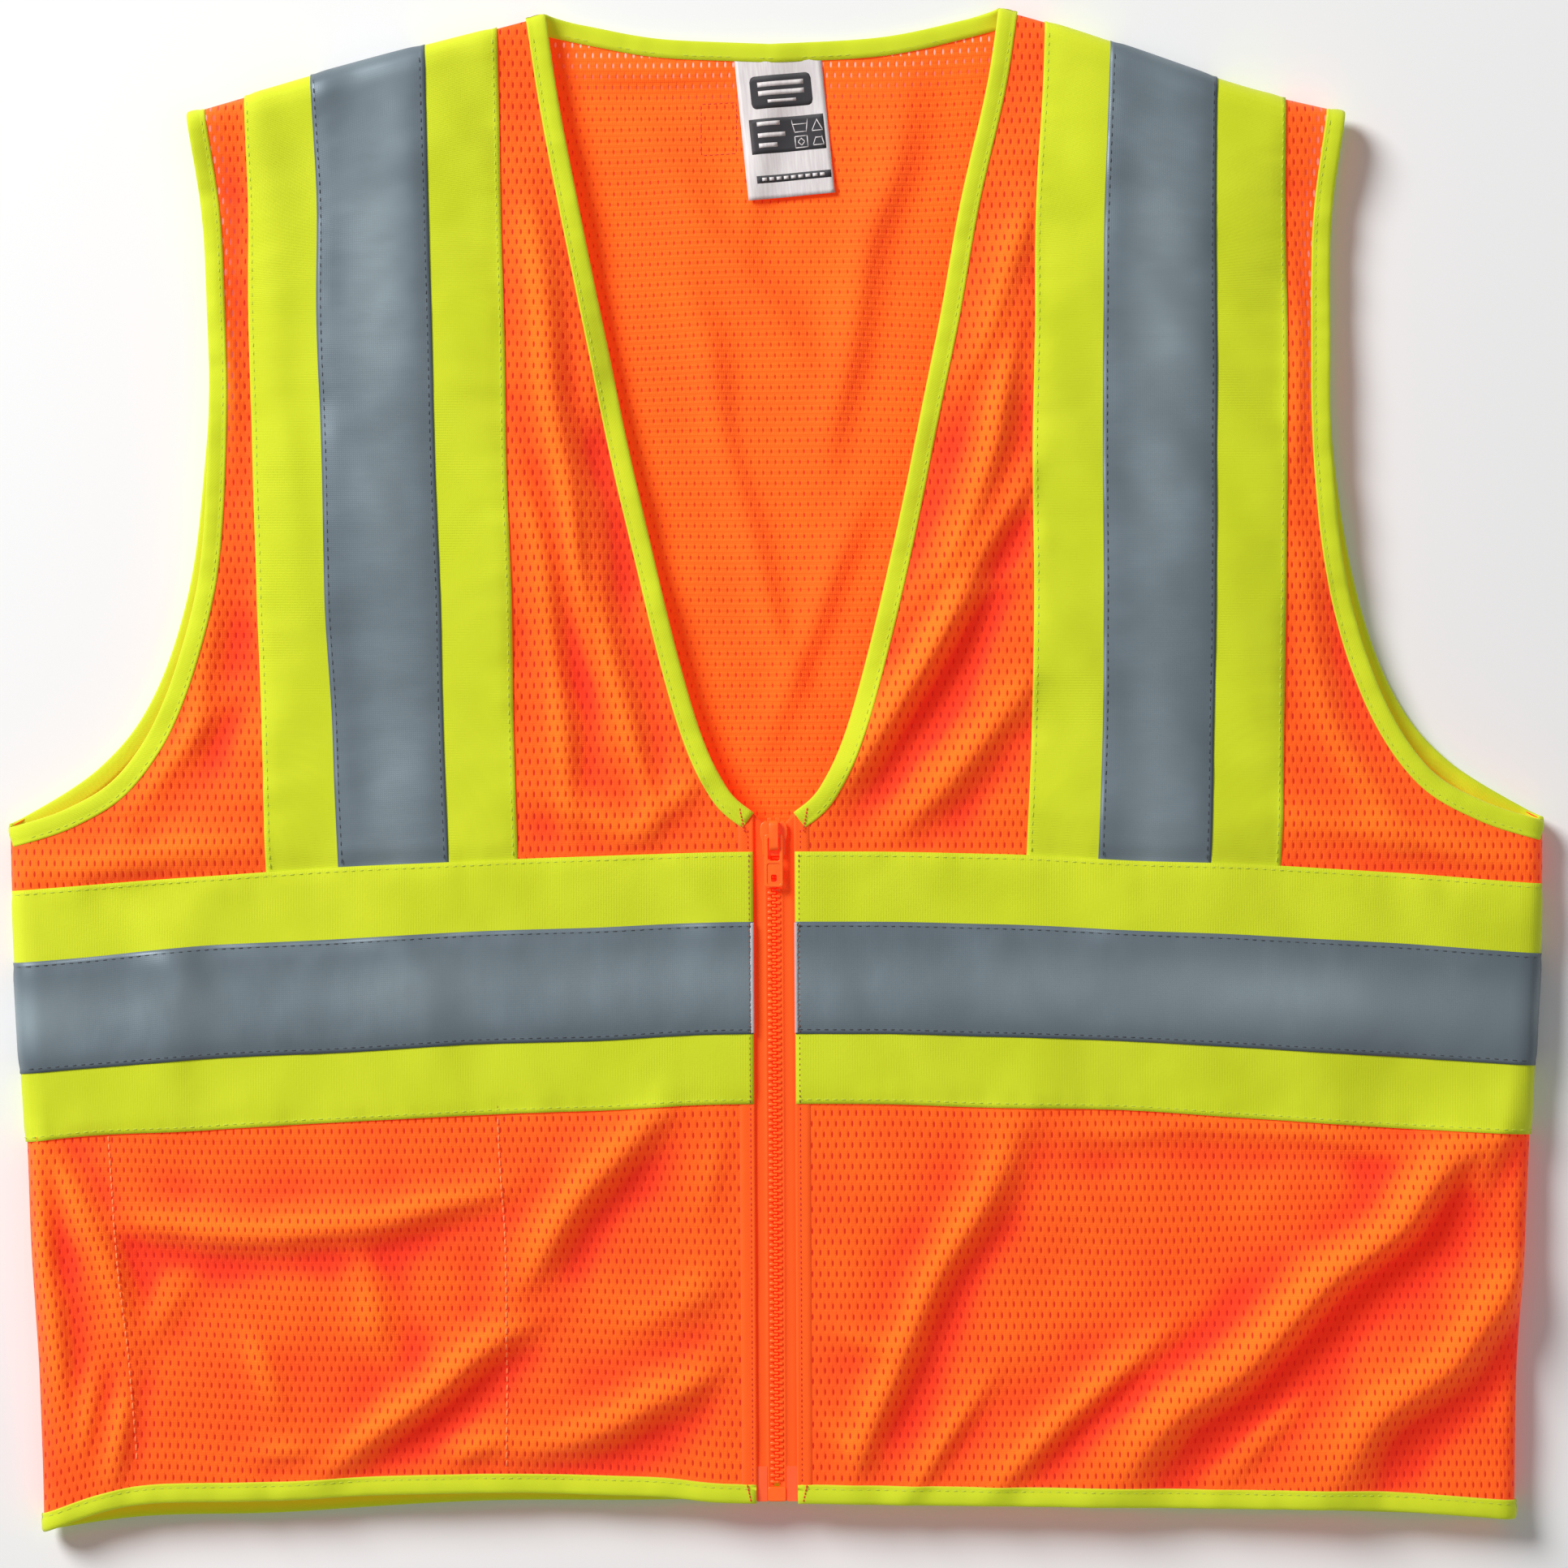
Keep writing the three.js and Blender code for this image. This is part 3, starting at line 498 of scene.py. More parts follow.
def cloth_sheet(name, x, y, face, lift, thick, materials, uv=None, shades=None):
    """A closed thin sheet over a grid of plan points: its outer face, its inner face and its rim."""
    rows, columns = x.shape
    outer = lay(x, y, face, lift)
    inner = lay(x, y, face, np.asarray(lift) - thick)
    count = rows * columns
    top = grid_faces(rows, columns)
    sides = rim_faces(rows, columns)
    middle = top[len(top) // 4]
    corners = outer.reshape(-1, 3)[middle]
    normal = np.cross(corners[1] - corners[0], corners[3] - corners[0])
    outward = np.ravel(np.broadcast_to(face, x.shape))[middle[0]]
    if normal[2] * outward < 0:
        top, sides = top[:, ::-1], sides[:, ::-1]
    faces = np.concatenate([top, top[:, ::-1] + count, sides])
    slots = np.concatenate([np.zeros(len(top)), np.ones(len(top)), np.zeros(len(sides))])
    plan = np.stack([x, y], -1) if uv is None else np.stack(uv, -1)
    points = np.concatenate([outer.reshape(-1, 3), inner.reshape(-1, 3)])
    obj = to_mesh(name, points, faces, materials, np.tile(plan.reshape(-1, 2), (2, 1)), slots)
    for key, value in (shades or {}).items():
        attribute = obj.data.attributes.new(key, "FLOAT", "POINT")
        attribute.data.foreach_set("value", np.tile(np.ravel(value), 2).astype(np.float32))
    return obj


# Fine steps round a fold, then even steps
FOLD_STEPS = FOLD_R * (1 - np.cos(np.radians([0, 14, 28, 42, 56, 72])))


def ramp(low, high, step):
    count = max(int(round((high - low) / step)), 2)
    return np.linspace(low, high, count + 1)


def row_heights(step):
    return np.concatenate([ramp(HEM_Y, TOP_Y - FOLD_R - 2, step), TOP_Y - FOLD_STEPS[::-1] / SHOULDER_COS])


CLOTH_STEP = 3.0


def front_grid(hand):
    v = row_heights(CLOTH_STEP)[:, None]
    steps = np.linspace(0, 1, 104)[None, :]
    outer = outer_x(v, FRONT)
    x = inner_x(v) + (outer - FOLD_R - inner_x(v)) * steps
    x = np.concatenate([x, outer - FOLD_STEPS[::-1][None, :]], axis=1)
    x = np.sort(x, axis=1)
    return hand * x, row_y(v, x, FRONT)


def back_grid():
    v = row_heights(CLOTH_STEP)[:, None]
    outer = outer_x(v, BACK)
    half = (outer - FOLD_R) * np.linspace(0, 1, 100)[None, :]
    half = np.concatenate([half, outer - FOLD_STEPS[::-1][None, :]], axis=1)
    x = np.concatenate([-half[:, :0:-1], half], axis=1)
    return x, row_y(v, x, BACK)


def with_normals(line):
    """Points and left-hand normals of a plan line."""
    along = np.gradient(line, axis=0)
    along /= np.linalg.norm(along, axis=1)[:, None]
    return line, np.stack([-along[:, 1], along[:, 0]], -1)


def resampled(line, step, folds_at=()):
    """Even points along a line, finer towards the ends named in folds_at, which turn over a fold."""
    length = arc_lengths(line)[-1]
    low = FOLD_R + 1 if "start" in folds_at else 0
    high = length - (FOLD_R + 1 if "end" in folds_at else 0)
    at = ramp(low, high, step)
    if "start" in folds_at:
        at = np.concatenate([FOLD_STEPS, at])
    if "end" in folds_at:
        at = np.concatenate([at, length - FOLD_STEPS[::-1]])
    return points_at(line, at)


# Section of an edge binding: distance from the cloth's edge and height above its face
BINDING_SECTION = [
    (8.0, 0.1), (7.8, 0.55), (7.0, 0.8), (6.0, 0.62), (5.0, 0.95), (3.0, 1.2), (1.2, 1.25), (-0.2, 1.0),
    (-0.75, 0.4), (-0.85, -0.35), (-0.6, -1.1), (0.2, -1.6), (2.5, -1.75), (5.5, -1.6), (7.8, -1.3),
    (7.8, -0.9), (4.0, -0.95), (0.2, -0.9), (-0.2, -0.35), (0.2, 0.1),
]


def edge_strip(name, lines, material, closed=False, section=BINDING_SECTION):
    """A folded binding along plan lines, given as (line, face). Seen from outside, cloth is on their left."""
    x, y, face = [], [], []
    distance, rise = np.array(section).T
    for line, at_face in lines:
        points, left = with_normals(line)
        into = left * at_face
        x.append(points[:, :1] + into[:, :1] * distance)
        y.append(points[:, 1:] + into[:, 1:] * distance)
        face.append(np.full(len(points), float(at_face)))
    x, y, face = np.concatenate(x), np.concatenate(y), np.concatenate(face)[:, None]
    rows, columns = x.shape
    reach = np.cumsum(np.hypot(*np.gradient(np.stack([x[:, 0], y[:, 0]]), axis=1)))
    lift = rise * (1 + 0.22 * noise(reach, 0 * reach, 6, 61))[:, None]
    points = lay(x, y, face, lift)
    faces = grid_faces(rows + 1 if closed else rows, columns, wrap=True) % (rows * columns)
    around = np.cumsum([0] + [math.dist(a, b) for a, b in zip(section, section[1:])])
    uv = np.stack(np.broadcast_arrays(around[None, :], reach[:, None]), -1)
    obj = to_mesh(name, points, faces, [material], uv)
    if not closed:
        close_ends(obj, rows, columns)
    face_outwards(obj)
    return obj


def close_ends(obj, rows, columns):
    bm = bmesh.new()
    bm.from_mesh(obj.data)
    bm.verts.ensure_lookup_table()
    for start in (0, (rows - 1) * columns):
        bm.faces.new([bm.verts[start + k] for k in range(columns)])
    bmesh.ops.triangulate(bm, faces=[f for f in bm.faces if len(f.verts) > 4])
    bm.to_mesh(obj.data)
    bm.free()


def face_outwards(obj, weld=0.0):
    """Turns all faces outwards, after welding points closer than weld in metres."""
    bm = bmesh.new()
    bm.from_mesh(obj.data)
    if weld:
        bmesh.ops.remove_doubles(bm, verts=bm.verts, dist=weld)
    bmesh.ops.recalc_face_normals(bm, faces=bm.faces)
    bm.to_mesh(obj.data)
    bm.free()


# ---- Stitches ------------------------------------------------------------------------------------


class Thread:
    """Gathers stitches that become one mesh."""

    def __init__(self):
        self.points, self.count = [], 0

    def run(self, line, face, lift, length, pitch, width, height=0.32):
        """Sews along a plan line, with stitches of this length every pitch, each a little out of line."""
        line = resampled(np.asarray(line, float), 1.0)
        start = np.arange(0.4, arc_lengths(line)[-1] - length, pitch)
        begin, end = points_at(line, start), points_at(line, start + length)
        jitter = 0.12 * np.random.RandomState(len(start) + self.count).uniform(-1, 1, begin.shape)
        begin, end = begin + jitter, end - jitter
        p0, p1 = lay(begin[:, 0], begin[:, 1], face, lift), lay(end[:, 0], end[:, 1], face, lift)
        up = lay(begin[:, 0], begin[:, 1], face, lift + 1) - p0
        self.add(p0, p1, up, width, height)

    def add(self, p0, p1, up, width, height):
        """Adds a stitch from each p0 to its p1: two rings of five points between sunk ends."""
        along = p1 - p0
        length = np.linalg.norm(along, axis=1)[:, None]
        along = along / np.maximum(length, 1e-9)
        up = up / np.linalg.norm(up, axis=1)[:, None]
        across = np.cross(along, up)
        rings = [p0 - up * 0.15]
        for share in (0.2, 0.8):
            centre = p0 + along * length * share
            for side, rise in ((0.5, 0.1), (0.28, 0.8), (-0.28, 0.8), (-0.5, 0.1), (0, -0.6)):
                rings.append(centre + across * width * side + up * height * rise)
        rings.append(p1 - up * 0.15)
        self.points.append(np.stack(rings, 1))
        self.count += len(p0)

    def build(self, name, material):
        points = np.concatenate(self.points)
        ring = np.arange(5)
        after = (ring + 1) % 5
        one = np.concatenate([
            np.stack([0 * ring, 1 + after, 1 + ring, 0 * ring], -1),
            np.stack([1 + ring, 1 + after, 6 + after, 6 + ring], -1),
            np.stack([6 + ring, 6 + after, 0 * ring + 11, 6 + ring], -1),
        ])
        faces = (one[None] + 12 * np.arange(len(points))[:, None, None]).reshape(-1, 4)
        pointed = faces[:, 0] == faces[:, 3]
        triangles, quads = faces[pointed][:, :3], faces[~pointed]
        split = np.concatenate([triangles, quads[:, [0, 1, 2]], quads[:, [0, 2, 3]]])
        return to_mesh(name, points, split, [material])


# ---- Materials -----------------------------------------------------------------------------------


def srgb(r, g, b):
    def linear(c):
        c = c / 255
        return c / 12.92 if c <= 0.04045 else ((c + 0.055) / 1.055) ** 2.4

    return (linear(r), linear(g), linear(b), 1.0)


class Nodes:
    """A short way to write a shader's node tree. The keywords are sockets of its Principled shader."""

    def __init__(self, name, **sockets):
        self.material = bpy.data.materials.new(name)
        self.material.use_nodes = True
        self.tree = self.material.node_tree
        self.shader = self.tree.nodes["Principled BSDF"]
        for key, value in sockets.items():
            self.shader.inputs[key.replace("_", " ")].default_value = value

    def new(self, kind, **values):
        node = self.tree.nodes.new(kind)
        for key, value in values.items():
            setattr(node, key, value)
        return node

    def put(self, socket, value):
        if hasattr(value, "is_output"):
            self.tree.links.new(value, socket)
        else:
            socket.default_value = value

    def math(self, operation, *terms):
        node = self.new("ShaderNodeMath", operation=operation)
        for socket, value in zip(node.inputs, terms):
            self.put(socket, value)
        return node.outputs[0]

    def add(self, a, b):
        return self.math("ADD", a, b)

    def times(self, a, b):
        return self.math("MULTIPLY", a, b)

    def times_add(self, a, b, c):
        return self.math("MULTIPLY_ADD", a, b, c)

    def one_less(self, a):
        return self.math("SUBTRACT", 1.0, a)

    def attribute(self, name):
        return self.new("ShaderNodeAttribute", attribute_name=name).outputs["Fac"]

    def place(self):
        return self.new("ShaderNodeTexCoord").outputs["Object"]

    def plan(self):
        """The place in the cloth's plan, in metres, whole and as its two coordinates."""
        node = self.new("ShaderNodeUVMap", uv_map="cloth")
        split = self.new("ShaderNodeSeparateXYZ")
        self.tree.links.new(node.outputs[0], split.inputs[0])
        return node.outputs[0], split.outputs[0], split.outputs[1]

    def noise(self, vector, scale, detail=2.0, roughness=0.5, stretch=None):
        if stretch:
            mapping = self.new("ShaderNodeMapping")
            mapping.inputs["Scale"].default_value = stretch
            self.tree.links.new(vector, mapping.inputs[0])
            vector = mapping.outputs[0]
        node = self.new("ShaderNodeTexNoise")
        self.tree.links.new(vector, node.inputs["Vector"])
        node.inputs["Scale"].default_value = scale
        node.inputs["Detail"].default_value = detail
        node.inputs["Roughness"].default_value = roughness
        return node.outputs["Fac"]

    def ramp(self, value, low, high, out_low=0.0, out_high=1.0):
        node = self.new("ShaderNodeMapRange", interpolation_type="SMOOTHSTEP")
        for socket, number in zip(node.inputs, (value, low, high, out_low, out_high)):
            self.put(socket, number)
        return node.outputs[0]

    def mix(self, share, a, b):
        node = self.new("ShaderNodeMix", data_type="RGBA")
        self.put(node.inputs["Factor"], share)
        self.put(node.inputs[6], a)
        self.put(node.inputs[7], b)
        return node.outputs[2]

    def wave(self, coordinate, pitch):
        """0 to 1 and back along a coordinate."""
        turn = self.times(coordinate, 2 * math.pi / pitch)
        return self.times_add(self.math("SINE", turn), 0.5, 0.5)

    def bump(self, height, distance, strength):
        node = self.new("ShaderNodeBump")
        node.inputs["Strength"].default_value = strength
        node.inputs["Distance"].default_value = distance
        self.tree.links.new(height, node.inputs["Height"])
        self.tree.links.new(node.outputs[0], self.shader.inputs["Normal"])

    def drive(self, socket, value):
        self.tree.links.new(value, self.shader.inputs[socket])

    def colour(self, value):
        self.drive("Base Color", value)


HOLE_PITCH = (0.0037, 0.00485)  # of the mesh's slits, across and along, in metres
LOOP_PITCH = 0.00081
WALE_PITCH = 0.00072  # of the tapes
TWILL_PITCH = 0.00062
# Painted glow: steady emission colours for cloth, tapes, thread and plastic, which are no lamps
ORANGE_PAINTED_GLOW = (1.0, 0.01, 0.004, 1)
LIME_PAINTED_GLOW = (0.55, 0.75, 0.01, 1)
# Painted light: the lit floor's colour, painted into the mesh's slits near open edges
FLOOR_PAINTED_IN_HOLES = srgb(250, 232, 224)
# Painted shade for the folds' valleys, and painted highlight for their ridges
VALLEY_PAINTED_SHADE = srgb(214, 38, 30)
RIDGE_PAINTED_HIGHLIGHT = srgb(244, 140, 26)


def slit_distance(n, place, pitch, half, stagger=None):
    """Square of the distance from the nearest slit's middle, in half sizes of a slit, one way."""
    cell = n.math("DIVIDE", place, pitch)
    within = n.math("SUBTRACT", n.math("FRACT", n.add(cell, stagger) if stagger else cell), 0.5)
    return n.math("POWER", n.math("ABSOLUTE", n.times(within, pitch / half)), 2.0)


def knitted_mesh(name, base, light, slit_shade, hole_half, ribbed):
    """Warp-knit mesh: staggered upright slits between columns of fine loops. A steady red glow is painted on
    as emission.
    """
    n = Nodes(name, Roughness=0.8, Sheen_Weight=0.15, Sheen_Roughness=0.5, Specular_IOR_Level=0.2,
              Emission_Color=ORANGE_PAINTED_GLOW, Emission_Strength=0.42)
    uv, u, v = n.plan()
    row = n.math("FLOOR", n.math("DIVIDE", v, HOLE_PITCH[1]))
    stagger = n.math("FRACT", n.times(row, 0.5))
    spread = n.add(
        slit_distance(n, u, HOLE_PITCH[0], hole_half[0], stagger),
        slit_distance(n, v, HOLE_PITCH[1], hole_half[1]),
    )
    seen = n.attribute("see_through")
    spread = n.times(spread, n.one_less(n.times(seen, 0.55)))
    open_share = n.ramp(spread, 0.55, 1.5, 1.0, 0.0)
    rim = n.ramp(spread, 1.2, 5.0, 0.0, 1.0)
    loops = n.wave(v, LOOP_PITCH)
    wales = n.wave(u, HOLE_PITCH[0] / 4)
    height = n.times_add(loops, 0.16, n.times(wales, 0.14))
    if ribbed:
        height = n.times_add(n.wave(v, HOLE_PITCH[1] / 2), 0.45, height)
    height = n.add(height, n.times(rim, 0.5))
    height = n.times_add(n.noise(uv, 900, 3), 0.2, height)
    n.bump(n.times(height, n.one_less(open_share)), 0.00035, 0.75)
    tone = n.mix(n.ramp(n.noise(uv, 26), 0.3, 0.7), base, light)
    # Painted shade in the fold valleys and painted highlight on the ridges, by the cloth's relief
    shade_relief = n.attribute("shade_relief")
    tone = n.mix(n.ramp(shade_relief, -1.0, 0.0, 0.75, 0.0), tone, VALLEY_PAINTED_SHADE)
    tone = n.mix(n.ramp(shade_relief, 0.0, 1.0, 0.0, 0.6), tone, RIDGE_PAINTED_HIGHLIGHT)
    # Painted shade: the grooves between the loops, and the slits below, take the dark colour of shaded cloth
    # seen through
    tone = n.mix(n.times(n.one_less(loops), 0.18), tone, slit_shade)
    # Painted light: near open edges the slits show a painted lit floor instead
    behind = n.mix(seen, slit_shade, FLOOR_PAINTED_IN_HOLES)
    n.colour(n.mix(n.times(open_share, 0.85), tone, behind))
    return n.material


def tricot(name, base, light, dark):
    """Close-knit tape: fine upright wales with small loops, darker in their hollows as painted shade, with a
    faint painted lime glow.
    """
    n = Nodes(name, Roughness=0.7, Sheen_Weight=0.15, Sheen_Roughness=0.45, Specular_IOR_Level=0.25,
              Emission_Color=LIME_PAINTED_GLOW, Emission_Strength=0.1)
    uv, u, v = n.plan()
    wales = n.wave(u, WALE_PITCH)
    loops = n.wave(n.add(v, n.times(wales, WALE_PITCH * 0.5)), WALE_PITCH * 0.8)
    height = n.times_add(wales, 0.5, n.times(loops, 0.35))
    height = n.times_add(n.noise(uv, 700, 3), 0.5, height)
    n.bump(height, 0.00016, 0.8)
    tone = n.mix(n.ramp(n.noise(uv, 18), 0.3, 0.7), base, light)
    # Painted shade: darker where the knit's bump is low
    n.colour(n.mix(n.times(n.one_less(height), 0.22), tone, dark))
    return n.material


def silver(name):
    """Retroreflective tape: grey beads on a smooth carrier, with faint scuffs and a painted highlight in
    patches along its middle.
    """
    n = Nodes(name, Metallic=0.35, Specular_IOR_Level=0.5)
    uv, u, v = n.plan()
    middle = n.ramp(n.math("ABSOLUTE", v), 0.0, SILVER_WIDTH * MM / 2, 1.0, 0.0)
    patchy_highlight = n.noise(uv, 7, stretch=(1.0, 0.3, 1.0))
    beads = n.noise(uv, 2600, 2, 0.7)
    weave = n.times(n.wave(u, 0.0009), n.wave(v, 0.0009))
    scuffs = n.noise(uv, 60, 4, 0.65, stretch=(1.0, 0.35, 1.0))
    n.bump(n.times_add(beads, 0.4, n.times(weave, 0.6)), 0.00007, 0.6)
    tone = n.mix(n.ramp(n.noise(uv, 9), 0.3, 0.7), srgb(107, 120, 129), srgb(116, 129, 138))
    # Painted highlight: paler in patches along the tape's middle
    tone = n.mix(n.times(middle, n.ramp(patchy_highlight, 0.35, 0.65, 0.3, 1.0)), tone, srgb(150, 165, 172))
    tone = n.mix(n.ramp(scuffs, 0.6, 0.85, 0.0, 0.25), tone, srgb(140, 151, 157))
    n.colour(n.mix(n.times(beads, 0.25), tone, srgb(86, 98, 106)))
    n.drive("Roughness", n.ramp(scuffs, 0.3, 0.8, 0.42, 0.6))
    return n.material


def ribbon(name, base, dark, glow, strength):
    """Woven binding or zip tape: a fine twill, darker in its hollows as painted shade, with a painted glow.
    """
    n = Nodes(name, Roughness=0.72, Sheen_Weight=0.15, Specular_IOR_Level=0.25, Emission_Color=glow,
              Emission_Strength=strength)
    uv, u, v = n.plan()
    twill = n.wave(n.add(u, v), TWILL_PITCH)
    cross = n.wave(n.math("SUBTRACT", u, v), TWILL_PITCH * 2)
    height = n.times_add(twill, 0.6, n.times(cross, 0.25))
    height = n.times_add(n.noise(uv, 800, 3), 0.4, height)
    n.bump(height, 0.00014, 0.8)
    # Painted shade: darker where the twill's bump is low
    n.colour(n.mix(n.times(n.one_less(height), 0.3), base, dark))
    return n.material


def thread(name, base, glow=(0, 0, 0, 1), strength=0.0):
    # Painted glow: glow and strength give the thread a steady emission.
    n = Nodes(name, Roughness=0.55, Sheen_Weight=0.2, Emission_Color=glow, Emission_Strength=strength)
    uv, u, v = n.plan()
    n.bump(n.wave(n.add(u, v), 0.0004), 0.00008, 0.7)
    n.colour(n.mix(n.noise(uv, 300), base, tuple(c * 0.75 for c in base[:3]) + (1.0,)))
    return n.material


def moulded(name, base, dark):
    # Painted glow: the plastic gets a steady orange emission.
    n = Nodes(name, Coat_Weight=0.15, Coat_Roughness=0.25, Emission_Color=ORANGE_PAINTED_GLOW, Emission_Strength=0.28)
    place = n.place()
    grain = n.noise(place, 1400, 3)
    n.bump(grain, 0.00004, 0.5)
    n.colour(n.mix(n.ramp(n.noise(place, 120), 0.35, 0.75, 0.0, 0.45), base, dark))
    n.drive("Roughness", n.ramp(grain, 0.3, 0.7, 0.28, 0.42))
    return n.material


def satin(name):
    n = Nodes(name, Roughness=0.38, Sheen_Weight=0.4, Anisotropic=0.5)
    uv, u, _ = n.plan()
    fibres = n.noise(uv, 900, 3, stretch=(1.0, 0.08, 1.0))
    n.bump(n.times_add(n.wave(u, 0.00035), 0.3, fibres), 0.00006, 0.6)
    n.colour(n.mix(n.ramp(fibres, 0.3, 0.7), srgb(236, 230, 229), srgb(222, 212, 213)))
    return n.material


def film(name):
    # Painted glow: the film gets a steady orange emission.
    n = Nodes(name, Roughness=0.22, Coat_Weight=0.4, Emission_Color=ORANGE_PAINTED_GLOW, Emission_Strength=0.25)
    n.colour(n.mix(n.noise(n.place(), 200), srgb(244, 98, 44), srgb(248, 112, 56)))
    return n.material


# The third colour is the painted shade in the slits
mesh_face = knitted_mesh(
    "orange mesh", srgb(232, 104, 22), srgb(236, 114, 22), srgb(140, 10, 10), (0.00046, 0.0014), False
)
mesh_reverse = knitted_mesh(
    "orange mesh reverse", srgb(232, 114, 22), srgb(236, 120, 22), srgb(180, 40, 18), (0.00034, 0.00095), True
)
lime_tape = tricot("lime tape", srgb(207, 217, 30), srgb(214, 223, 40), srgb(180, 192, 20))
lime_binding = ribbon("lime binding", srgb(204, 213, 32), srgb(174, 186, 20), LIME_PAINTED_GLOW, 0.17)
silver_tape = silver("silver tape")
zip_cloth = ribbon("zip cloth", srgb(250, 104, 22), srgb(214, 56, 20), ORANGE_PAINTED_GLOW, 0.28)
orange_hem = ribbon("orange hem", srgb(252, 108, 22), srgb(220, 60, 20), ORANGE_PAINTED_GLOW, 0.28)
zip_plastic = moulded("zip plastic", srgb(252, 114, 26), srgb(244, 92, 22))
zip_film = film("zip film")
lime_thread = thread("lime thread", srgb(206, 218, 62), LIME_PAINTED_GLOW, 0.12)
grey_thread = thread("grey thread", srgb(66, 72, 78))
orange_thread = thread("orange thread", srgb(232, 72, 30), ORANGE_PAINTED_GLOW, 0.2)
brown_thread = thread("brown thread", srgb(168, 84, 40))
pocket_thread = thread("pocket thread", srgb(254, 158, 84), ORANGE_PAINTED_GLOW, 0.25)
label_satin = satin("label satin")
label_ink = thread("label ink", srgb(60, 58, 62))
fray = thread("frayed edge", srgb(206, 200, 204))

# ---- Cloth ---------------------------------------------------------------------------------------

HANDS = (("right", -1), ("left", 1))
FULL_RELIEF = 2.8  # this far below the cloth around, the painted valley shade is at its reddest, and this far above, the painted ridge highlight is at its palest


def ride_body(obj):
    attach(obj, "vest_body")


def fold_blend(obj):
    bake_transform(obj)


def stand_for(obj, slot, *nodes):
    """Hides the CAD nodes that a piece is drawn for. The piece itself and its material slot are not used."""
    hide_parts(*nodes)


for hand, side in HANDS:
    x, y = front_grid(side)
    to_arm = outer_x(row_of(x, y, FRONT), FRONT) - np.abs(x)
    # Where the slits show a painted lit floor: near the upper armhole edges
    seen = smoothstep(1 - to_arm / 16) * smoothstep((y - 120) / 120)
    # The relief sets the mesh's painted fold shade and highlight
    shade_relief = np.clip(sample(FRONT_RELIEF, x, y) / FULL_RELIEF, -1, 1)
    cloth = cloth_sheet(f"{hand}_front_cloth", x, y, FRONT, 0, MESH_THICK, (mesh_face, mesh_reverse),
                        shades={"see_through": seen, "shade_relief": shade_relief})
    stand_for(cloth, "orange_mesh", f"{hand}_side_panel", f"{hand}_front_panel")
    fold_blend(cloth)

x, y = back_grid()
# Where the slits show a painted lit floor: along the neckline
seen = smoothstep(1 - (top_y(x, BACK) - y) / 30)
back_cloth = cloth_sheet("back_cloth", x, y, BACK, 0, MESH_THICK, (mesh_face, mesh_reverse),
                         shades={"see_through": seen})
stand_for(back_cloth, "orange_mesh", "back_panel")
ride_body(back_cloth)


def pocket_cloth():
    low, high = box_mm("pocket")
    foot = low[1] - SHIFT_Y
    x, v = np.meshgrid(ramp(low[0] + 1, high[0] - 1, 3), ramp(foot, high[1] - SHIFT_Y, 3))
    y = v - drop(x) * 0.5
    edge = np.minimum(np.minimum(x - x.min(), x.max() - x), v - v.min())
    depth = 1.2 + 2.6 * smoothstep(edge / 35) + 0.5 * noise(x, y, 30, 71) * smoothstep(edge / 20)
    cloth = cloth_sheet("pocket_cloth", x, y, FRONT, -depth, MESH_THICK, (mesh_reverse, mesh_face))
    stand_for(cloth, "orange_mesh", "pocket")
    ride_body(cloth)


pocket_cloth()

# ---- Tapes ---------------------------------------------------------------------------------------

TAPE_LIFT = 0.75
SILVER_LIFT = 1.15
TAPE_STEP = 2.5
EDGE_INSET = 2.0  # of a tape's stitches from its edge


def tape_lift(base, offset, half, along, seed):
    """Height across a tape: held down along its stitches, soft between them, and a little uneven."""
    edge = half - np.abs(offset)
    crown = 0.35 * smoothstep(edge / 9) - 0.18 * np.exp(-((edge - 2.0) ** 2) / 1.2)
    return base + crown + 0.14 * noise(along, offset, 8, seed) * np.exp(-edge / 10)


def tape_offsets(width):
    """Even steps across a tape, with one on each row of stitches."""
    half = width / 2
    return np.unique(np.concatenate([ramp(-half, half, TAPE_STEP), [-half + EDGE_INSET, half - EDGE_INSET]]))


def waist_tape(name, face, low_x, high_x, width, lift, thick, material, seed):
    outer = side_x(WAIST_Y)
    x = ramp(low_x, high_x, TAPE_STEP)
    folds_at = [s * (outer - FOLD_STEPS) for s in (-1, 1)]
    x = np.concatenate([x[np.abs(x) < outer - FOLD_R]] + [f[(f >= low_x) & (f <= high_x)] for f in folds_at])
    if low_x > -outer and low_x not in x:
        x = np.append(x, low_x)
    x, offset = np.meshgrid(np.unique(x), tape_offsets(width))
    v = WAIST_Y + offset
    limit = side_x(v - drop(HALF_WIDTH))
    x = np.clip(x, -limit, limit)
    height = tape_lift(lift, offset, width / 2, x, seed)
    y = row_y(v, x, face)
    obj = cloth_sheet(name, x, y, face, height, thick, (material, material), uv=(x, offset))
    return obj


def there_and_back(front, back):
    """Rows of the front up to the shoulder, then those of the back down from it."""
    return np.concatenate([front, back[-2::-1]])


